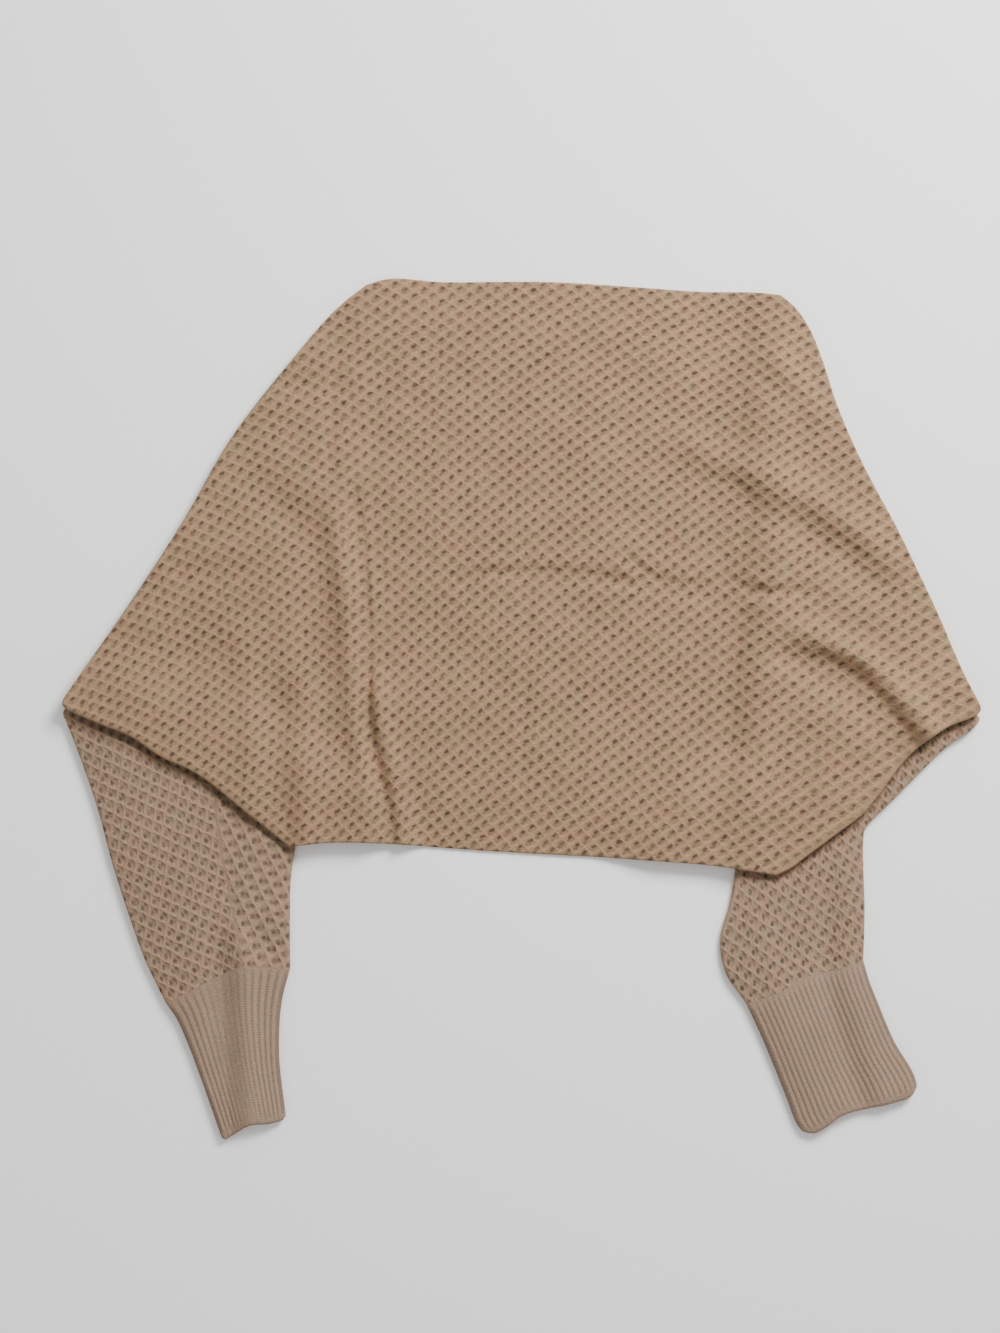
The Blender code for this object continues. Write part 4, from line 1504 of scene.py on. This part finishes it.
@dataclass
class Tube:
    """A flattened tube of cloth, open at both ends, whose lower layer lies on the surface."""

    name: str
    sides: tuple[np.ndarray, np.ndarray, np.ndarray, np.ndarray]
    crown: Callable[[np.ndarray, np.ndarray], np.ndarray]
    flush_row: int
    under_columns: int = 24
    side_columns: int = 6
    side_inset: float = 0.12
    thickness: float = 2.1 * MM
    mouth_round: float = 0.0
    mouth_roll: float = 0.1

    def _closing(self, rows: int) -> np.ndarray:
        """Work out how far the sides roll out at each row: less at a rounded mouth.

        Args:
            rows: How many rows of faces the tube has.

        Returns:
            A share of the wall for each row of points.
        """
        if not self.mouth_round:
            return np.ones(rows + 1)
        late = np.clip((np.linspace(0, 1, rows + 1) - 1) / self.mouth_round + 1, 0, 1)
        return self.mouth_roll + (1 - self.mouth_roll) * np.sqrt(1 - late**2)

    def build(self) -> tuple[bpy.types.Object, np.ndarray]:
        """Build the tube.

        Returns:
            The piece, and for each vertex its place across and along the upper layer.
        """
        wall = LAYERS.wall
        plan = patch(*self.sides)
        columns, rows = plan.shape[0] - 1, plan.shape[1] - 1
        main = np.stack([squeezed(plan[:, row], wall) for row in range(rows + 1)], axis=1)
        places = np.linspace(0, 1, columns + 1)[:, None]
        high = self.crown(main, places)
        across = plan[-1] - plan[0]
        across = across / np.linalg.norm(across, axis=1)[:, None]
        turn = np.linspace(0, 1, self.side_columns + 1)[1:-1, None]
        roll = wall * (1 - self.side_inset) * np.sin(np.pi * turn) * self._closing(rows)
        fall = (1 + np.cos(np.pi * turn)) / 2
        keep = np.linspace(columns, 0, self.under_columns + 1).round().astype(int)
        runs = [
            (main, high, places),
            (main[-1] + across * roll[..., None], high[-1] * fall, np.ones_like(turn)),
            (main[keep], np.zeros((len(keep), rows + 1)), places[keep]),
            (main[0] - across * roll[..., None], high[0] * (1 - fall), np.zeros_like(turn)),
            (main[:1], high[:1], places[:1]),
        ]
        xy = np.concatenate([run[0] for run in runs])
        z = np.concatenate([np.broadcast_to(run[1], run[0].shape[:-1]) for run in runs])
        share = np.concatenate([np.broadcast_to(run[2], run[0].shape[:-1]) for run in runs])
        along = np.broadcast_to(np.linspace(0, 1, rows + 1), share.shape)
        cloth = ClothMesh()
        layer = cloth.builder.verts.layers.float_vector.new("place")
        verts = cloth.grid(len(xy) - 1, rows)
        cloth.place(verts, xy, z)
        for index in np.ndindex(verts.shape):
            verts[index][layer] = (share[index], along[index], z[index])
        for pair in zip(verts[:-1, self.flush_row], verts[1:, self.flush_row]):
            cloth.builder.edges.get(pair).smooth = False
        piece = cloth.finish(self.name)
        charted = np.empty(len(piece.data.vertices) * 3, np.float32)
        piece.data.attributes["place"].data.foreach_get("vector", charted)
        piece.data.attributes.remove(piece.data.attributes["place"])
        wall_maker = piece.modifiers.new("cloth_thickness", "SOLIDIFY")
        wall_maker.thickness = self.thickness
        wall_maker.offset = -1
        return piece, charted.reshape(-1, 3)


@dataclass
class Arm:
    """A lower sleeve in tuck knit and its long ribbed cuff."""

    side: Side
    back: BackPanel
    outer: Route
    inner: Route
    seam: Route
    cuff_outer: Route
    cuff_inner: Route
    mouth: Route
    folds: Sequence[Fold]
    stitches: StitchField
    inner_stitches: StitchField | None = None
    underarm: Route = ()
    start_corner: Route = ()
    columns: int = 132
    rows: int = 150
    cuff_rows: int = 60
    ribs: int = 15
    rib_columns: int = 10
    rib_height: float = 0.5 * MM
    rib_start: float = 0.07
    rib_at_seam: float = 0.1
    rib_at_mouth: float = 0.15
    lip_drop: float = 0.8 * MM
    lip_share: float = 0.015
    seam_calm: float = 0.03
    side_calm: float = 0.03
    calm_centre: float = 0.5
    calm_width: float = 0.2
    calm_share: float = 0.0
    loft: float = 2.2 * MM
    tube_run: float = 6 * MM
    pressed: float = 1.4 * MM
    mouth_band: float = 0.05
    mouth_round: float = 0.02
    seam_width: float = 2.4 * MM
    sleeve_flat: tuple[float, float] = (0.35, 0.20)
    sleeve_area: float = 0.045
    cuff_flat: tuple[float, float] = (0.204, 0.118)
    cuff_area: float = 0.0155
    knit: TuckKnit = TuckKnit(
        yarn=Yarn("A98B70", "90755C", "93705E", "7E735D", "423A33"),
        relief=TuckRelief(slant=0.5),
        ridge_highlight_share=0.36,
        crossing_share=1.0,
        hollow_shade_share=0.88,
        open_shade_share=0.28,
        lower_shade_share=0.62,
    )
    rib: RibKnit = RibKnit()

    def _clear_of_back(self, xy: np.ndarray) -> np.ndarray:
        """Work out how far points are out from under the back.

        Args:
            xy: Points in plan.

        Returns:
            Shares from 0 to 1.
        """
        lower = chained(smooth_curve(FOLD_LEFT), smooth_curve(HEM), smooth_curve(FOLD_RIGHT))
        edge_y = np.interp(xy[..., 0], lower[:, 0], lower[:, 1])
        gap, _ = distance_to(xy, lower)
        clear = smoothstep((gap - LAYERS.slit) / self.tube_run)
        return np.where(xy[..., 1] < edge_y, clear, 0)

    def _crown(self, xy: np.ndarray, places: np.ndarray) -> np.ndarray:
        """Work out the height of the upper face, puffed where it lies in the open.

        Args:
            xy: Points in plan.
            places: Their places across the tube.

        Returns:
            Heights in metres.
        """
        puff = self.loft * (1 - (2 * places - 1) ** 4) + fold_relief(xy, self.folds)
        clear = self._clear_of_back(xy)
        return LAYERS.tube_top - self.pressed * (1 - clear) + clear * np.maximum(puff, 0)

    def _stitch_chart(self, xy: np.ndarray) -> np.ndarray:
        """Chart the sleeve's knit, which closes up along the underarm seam.

        Args:
            xy: Points in plan.

        Returns:
            Wale, course and openness at each point.
        """
        counts = self.stitches.at(xy)
        openness = np.ones(xy.shape[:-1])
        if self.inner_stitches:
            line = smooth_curve(self.underarm)
            order = line[:, 1].argsort()
            seam_x = np.interp(xy[..., 1], line[order, 1], line[order, 0])
            inside = (xy[..., 0] > seam_x)[..., None]
            counts = np.where(inside, self.inner_stitches.at(xy), counts)
            openness = smoothstep(np.abs(xy[..., 0] - seam_x) / self.seam_width)
        return np.concatenate([counts, openness[..., None]], axis=-1)

    def _sleeve_face(self, xy: np.ndarray, places: np.ndarray) -> np.ndarray:
        """Work out the height of the sleeve's upper face with its knit.

        Args:
            xy: Points in plan.
            places: Their places across the tube.

        Returns:
            Heights in metres.
        """
        chart = self._stitch_chart(xy)
        along = np.linspace(0, 1, xy.shape[1])[None]
        edges = smoothstep((0.5 - np.abs(places - 0.5)) / self.side_calm)
        edges = edges * smoothstep((1 - along) / self.seam_calm)
        relief = self.knit.relief.at(chart[..., :2], chart[..., 2]) * edges
        return self._crown(xy, places) + self._clear_of_back(xy) * relief

    def _rib_depth(self, places: np.ndarray, along: np.ndarray) -> np.ndarray:
        """Work out how deep the ribs are: shallow in the trough, gone in the mouth's band.

        Args:
            places: Places across the cuff.
            along: Places along it, from its seam to its mouth.

        Returns:
            Shares of the ribs' full height.
        """
        calm = np.exp(-(((places - self.calm_centre) / self.calm_width) ** 2))
        band = smoothstep((1 - along - self.mouth_band / 2) / self.mouth_band)
        start = self.rib_at_seam + (1 - self.rib_at_seam) * smoothstep(along / self.rib_start)
        end = self.rib_at_mouth + (1 - self.rib_at_mouth) * band
        return (1 - self.calm_share * calm) * end * start

    def _cuff_face(self, xy: np.ndarray, places: np.ndarray) -> np.ndarray:
        """Work out the height of the cuff's upper face with its ribs.

        Args:
            xy: Points in plan.
            places: Their places across the cuff.

        Returns:
            Heights in metres.
        """
        along = np.linspace(0, 1, xy.shape[1])[None]
        groove = (0.5 + 0.5 * np.cos(2 * np.pi * self.ribs * places)) ** 2
        ribs = self.rib_height * (1 - groove) * self._rib_depth(places, along)
        lip = self.lip_drop * smoothstep((along - (1 - self.lip_share)) / self.lip_share)
        return self._crown(xy, places) + ribs - lip

    def build_sleeve(self) -> bpy.types.Object:
        """Build the lower sleeve.

        Returns:
            The piece, without its finish.
        """
        reach = self.back.sleeve_reach(self.side)
        corner = np.array(self.start_corner, float).reshape(-1, 2) * MM
        start = np.vstack([reach, corner])
        top = spread(start, divided(start, self.columns // (len(start) - 1)))
        sides = (
            top,
            even(smooth_curve(self.seam), len(top) - 1),
            even(smooth_curve([start[0] / MM, *self.outer, self.seam[0]]), self.rows),
            even(smooth_curve([start[-1] / MM, *self.inner, self.seam[-1]]), self.rows),
        )
        tube = Tube(f"sleeve_{self.side.value}_tube", sides, self._sleeve_face, flush_row=-1)
        piece, _ = tube.build()
        chart_stitches(piece, self._stitch_chart(plan_of(piece)))
        return piece

    def build_cuff(self) -> bpy.types.Object:
        """Build the ribbed cuff.

        Returns:
            The piece, without its finish.
        """
        border_line = smooth_curve(self.seam)
        mouth_line = smooth_curve(self.mouth)
        away = mouth_line.mean(0) - border_line.mean(0)
        away *= LAYERS.cuff_seam / np.linalg.norm(away)
        outer = even(smooth_curve(self.cuff_outer), self.cuff_rows)
        inner = even(smooth_curve(self.cuff_inner), self.cuff_rows)
        outer[0] += away
        inner[0] += away
        top = even(border_line, self.rib_columns * self.ribs) + away
        bottom = even(mouth_line, self.rib_columns * self.ribs)
        sides = (top, bottom, outer, inner)
        name = f"cuff_{self.side.value}_tube"
        tube = Tube(name, sides, self._cuff_face, flush_row=0, mouth_round=self.mouth_round)
        piece, placed = tube.build()
        across, along = placed[:, 0], placed[:, 1]
        length = np.linalg.norm(mouth_line.mean(0) - border_line.mean(0)) / MM
        depth = self._rib_depth(across, along)
        chart_stitches(piece, np.column_stack([across * self.ribs + 0.5, along * length, depth]))
        return piece

    def dress(self, sleeve: bpy.types.Object, cuff: bpy.types.Object) -> None:
        """Args:
            sleeve: The built lower sleeve.
            cuff: The built cuff.
        """
        side = self.side.value
        sleeve.data.materials.append(self.knit.material(f"tuck_knit_sleeve_{side}"))
        cuff.data.materials.append(self.rib.material(f"rib_knit_cuff_{side}"))
        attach(sleeve, "root")
        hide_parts(f"sleeve_{side}")
        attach(cuff, "root")
        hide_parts(f"cuff_{side}")


@dataclass
class LabelStitches:
    """The two short rows of stitches that hold a label inside the neck."""

    back: BackPanel
    columns_x: tuple[float, float] = (-11.2, 40.8)
    tops_y: tuple[float, float] = (299.5, 295.7)
    row_length: float = 11.5
    stitch_length: float = 2.4 * MM
    stitch_width: float = 0.5 * MM
    flatness: float = 0.8
    stand_off: float = 0.1 * MM
    count: int = 4
    thread: SewingThread = SewingThread()

    def build(self) -> bpy.types.Object:
        """Build both rows as one piece of small rounded stitches.

        Returns:
            The piece, without its finish.
        """
        cloth = ClothMesh()
        spacing = self.row_length / (self.count - 1)
        for x, top_y in zip(self.columns_x, self.tops_y):
            for place in range(self.count):
                at = np.array([x, top_y - spacing * place]) * MM
                made = bmesh.ops.create_uvsphere(
                    cloth.builder, u_segments=8, v_segments=6, radius=self.stitch_width / 2
                )["verts"]
                scale = (1, self.stitch_length / self.stitch_width, self.flatness)
                bmesh.ops.scale(cloth.builder, verts=made, vec=scale)
                height = float(self.back.underside(at[None])[0]) + LAYERS.wall
                spot = (at[0], at[1], height + self.stand_off)
                bmesh.ops.translate(cloth.builder, verts=made, vec=spot)
        return cloth.finish("label_stitches")

    def dress(self, piece: bpy.types.Object) -> None:
        """Args:
            piece: The built stitches.
        """
        piece.data.materials.append(self.thread.material("spun_sewing_thread"))
        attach(piece, "root")


class SoftBox(NamedTuple):
    """A square studio light: its name, where it hangs, its size and its power in watts."""

    name: str
    place: tuple[float, float, float]
    size: float
    power: float


@dataclass
class Studio:
    """Plain pale floor, soft light from the upper right, and a camera that looks straight down."""

    centre: Point = Point(-15.8, 31.3)
    frame_height: float = 960 * MM
    lens: float = 80.0
    sensor: float = 36.0
    sharp_height: float = 8 * MM
    floor_size: float = 8.0
    floor_drop: float = 0.4 * MM
    key: SoftBox = SoftBox("key_light", (0.90, 1.24, 1.28), 0.8, 68.0)
    filler: SoftBox = SoftBox("fill_light", (-1.3, -0.9, 1.6), 1.8, 4.0)
    daylight: float = 0.66
    paper: PaperSweep = PaperSweep()

    def build(self) -> None:
        """Set up the camera, the lights and the floor."""
        distance = self.frame_height * self.lens / self.sensor
        camera = bpy.data.cameras.new("top_camera")
        camera.lens = self.lens
        camera.sensor_width = self.sensor
        holder = bpy.data.objects.new("top_camera", camera)
        holder.location = (self.centre.x * MM, self.centre.y * MM, distance + self.sharp_height)
        bpy.context.collection.objects.link(holder)
        bpy.context.scene.camera = holder
        self._hang(self.key)
        self._hang(self.filler)
        self._surround()
        builder = bmesh.new()
        bmesh.ops.create_grid(builder, x_segments=1, y_segments=1, size=self.floor_size / 2)
        bmesh.ops.translate(builder, verts=builder.verts, vec=(0, 0, -self.floor_drop))
        mesh = bpy.data.meshes.new("paper_floor")
        builder.to_mesh(mesh)
        builder.free()
        mesh.materials.append(self.paper.material("white_background_paper"))
        floor = bpy.data.objects.new("paper_floor", mesh)
        bpy.context.collection.objects.link(floor)

    @staticmethod
    def _hang(box: SoftBox) -> None:
        """Hang a soft box that faces the garment.

        Args:
            box: The light.
        """
        lamp = bpy.data.lights.new(box.name, "AREA")
        lamp.size = box.size
        lamp.energy = box.power
        holder = bpy.data.objects.new(box.name, lamp)
        x, y, z = box.place
        holder.location = box.place
        holder.rotation_euler = (np.arctan2(np.hypot(x, y), z), 0, np.arctan2(y, x) + np.pi / 2)
        bpy.context.collection.objects.link(holder)

    def _surround(self) -> None:
        """Fill the studio with even pale light."""
        world = bpy.data.worlds.new("studio_light")
        world.use_nodes = True
        background = world.node_tree.nodes["Background"]
        background.inputs[0].default_value = linear("FFFFFF")
        background.inputs[1].default_value = self.daylight
        bpy.context.scene.world = world


def left_arm(back: BackPanel) -> Arm:
    """Set out the arm on the left of the photograph.

    Args:
        back: The panel under which it starts.

    Returns:
        The arm with its sizes.
    """
    return Arm(
        side=Side.LEFT,
        back=back,
        outer=[
            (-331.6, -1.6), (-329.0, -8.6), (-317.7, -38.2), (-306.6, -71.3), (-295.6, -112.5),
            (-284.5, -147.0), (-272.6, -180.0),
        ],
        inner=[(-163.0, -97.9), (-166.4, -122.4), (-167.0, -151.2)],
        seam=[
            (-257.4, -211.6), (-239.0, -202.0), (-222.0, -193.0), (-205.0, -185.6),
            (-190.0, -184.0), (-166.8, -187.0),
        ],
        cuff_outer=[
            (-257.4, -211.6), (-249.4, -223.2), (-242.8, -237.6), (-231.8, -266.4),
            (-216.2, -311.0),
        ],
        cuff_inner=[
            (-166.8, -187.0), (-172.4, -208.8), (-174.8, -245.0), (-169.8, -294.6),
        ],
        mouth=[
            (-216.2, -311.0), (-208.0, -306.0), (-195.8, -298.8), (-181.4, -297.8),
            (-169.8, -294.6),
        ],
        folds=LEFT_TUBE_FOLDS,
        stitches=StitchField(LEFT_SLEEVE_STITCHES),
        inner_stitches=StitchField(LEFT_INNER_STITCHES),
        underarm=[
            (-221.0, -60.0), (-218.2, -92.2), (-208.8, -141.8), (-200.2, -190.0),
        ],
        calm_centre=0.46,
        calm_share=0.85,
    )


def right_arm(back: BackPanel) -> Arm:
    """Set out the arm on the right of the photograph.

    Args:
        back: The panel under which it starts.

    Returns:
        The arm with its sizes.
    """
    return Arm(
        side=Side.RIGHT,
        back=back,
        outer=[
            (331.0, -6.6), (327.0, -12.0), (308.2, -25.2), (287.4, -45.2), (264.2, -68.6),
            (251.0, -81.6), (247.8, -86.4), (246.9, -94.0), (246.8, -108.0), (247.8, -144.0),
        ],
        inner=[
            (153.2, -110.0), (149.8, -136.8), (142.4, -165.6), (145.6, -187.0),
        ],
        seam=[
            (246.8, -180.4), (223.2, -187.4), (204.5, -192.2), (186.0, -202.5), (161.4, -211.6),
        ],
        cuff_outer=[
            (246.8, -180.4), (250.8, -194.4), (256.4, -208.8), (268.4, -237.6), (283.8, -266.0),
            (285.0, -271.6),
        ],
        cuff_inner=[
            (161.4, -211.6), (167.0, -223.2), (179.6, -252.0), (191.2, -280.8), (198.8, -299.0),
            (203.0, -304.4),
        ],
        mouth=[
            (285.0, -271.6), (281.0, -277.8), (266.8, -283.0), (249.3, -287.2), (238.0, -289.6),
            (229.2, -293.0), (219.7, -300.0), (211.2, -304.8), (203.0, -304.4),
        ],
        folds=RIGHT_TUBE_FOLDS,
        stitches=StitchField(RIGHT_SLEEVE_STITCHES),
        start_corner=[(148.5, -80.0)],
        ribs=21,
        mouth_round=0.035,
        knit=replace(Arm.knit, ridge_highlight_share=0.3, open_shade_share=0.16, hollow_shade_share=0.92),
        sleeve_flat=(0.30, 0.17),
        sleeve_area=0.030,
        cuff_flat=(0.184, 0.115),
        cuff_area=0.0188,
    )


def report(piece: bpy.types.Object) -> None:
    """Log a finished piece's name and size.

    Args:
        piece: The piece.
    """
    evaluated = piece.evaluated_get(bpy.context.evaluated_depsgraph_get())
    mesh = evaluated.to_mesh()
    triangles = sum(len(polygon.vertices) - 2 for polygon in mesh.polygons)
    area = sum(polygon.area for polygon in mesh.polygons)
    LOG.info("%s: %d triangles, %.4f m2 of surface", piece.name, triangles, area)
    evaluated.to_mesh_clear()


def main() -> None:
    """Build the shrug and its studio."""
    logging.basicConfig(level=logging.INFO, format="%(name)s: %(message)s", stream=sys.stdout)
    LOG.info("dressing %d solids", len(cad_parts))
    Studio().build()
    back = BackPanel()
    panel = back.build()
    back.dress(panel)
    report(panel)
    fronts = (
        FrontPanel(Side.LEFT, back, FRONT_EDGE_LEFT, (0.195, 0.376), 0.036, [(-152, -92)]),
        FrontPanel(Side.RIGHT, back, FRONT_EDGE_RIGHT, (0.147, 0.357), 0.029),
    )
    for front in fronts:
        piece = front.build()
        front.dress(piece)
        report(piece)
    for arm in (left_arm(back), right_arm(back)):
        sleeve, cuff = arm.build_sleeve(), arm.build_cuff()
        arm.dress(sleeve, cuff)
        report(sleeve)
        report(cuff)
    label = LabelStitches(back)
    stitches = label.build()
    label.dress(stitches)
    report(stitches)


if __name__ == "__main__":
    main()
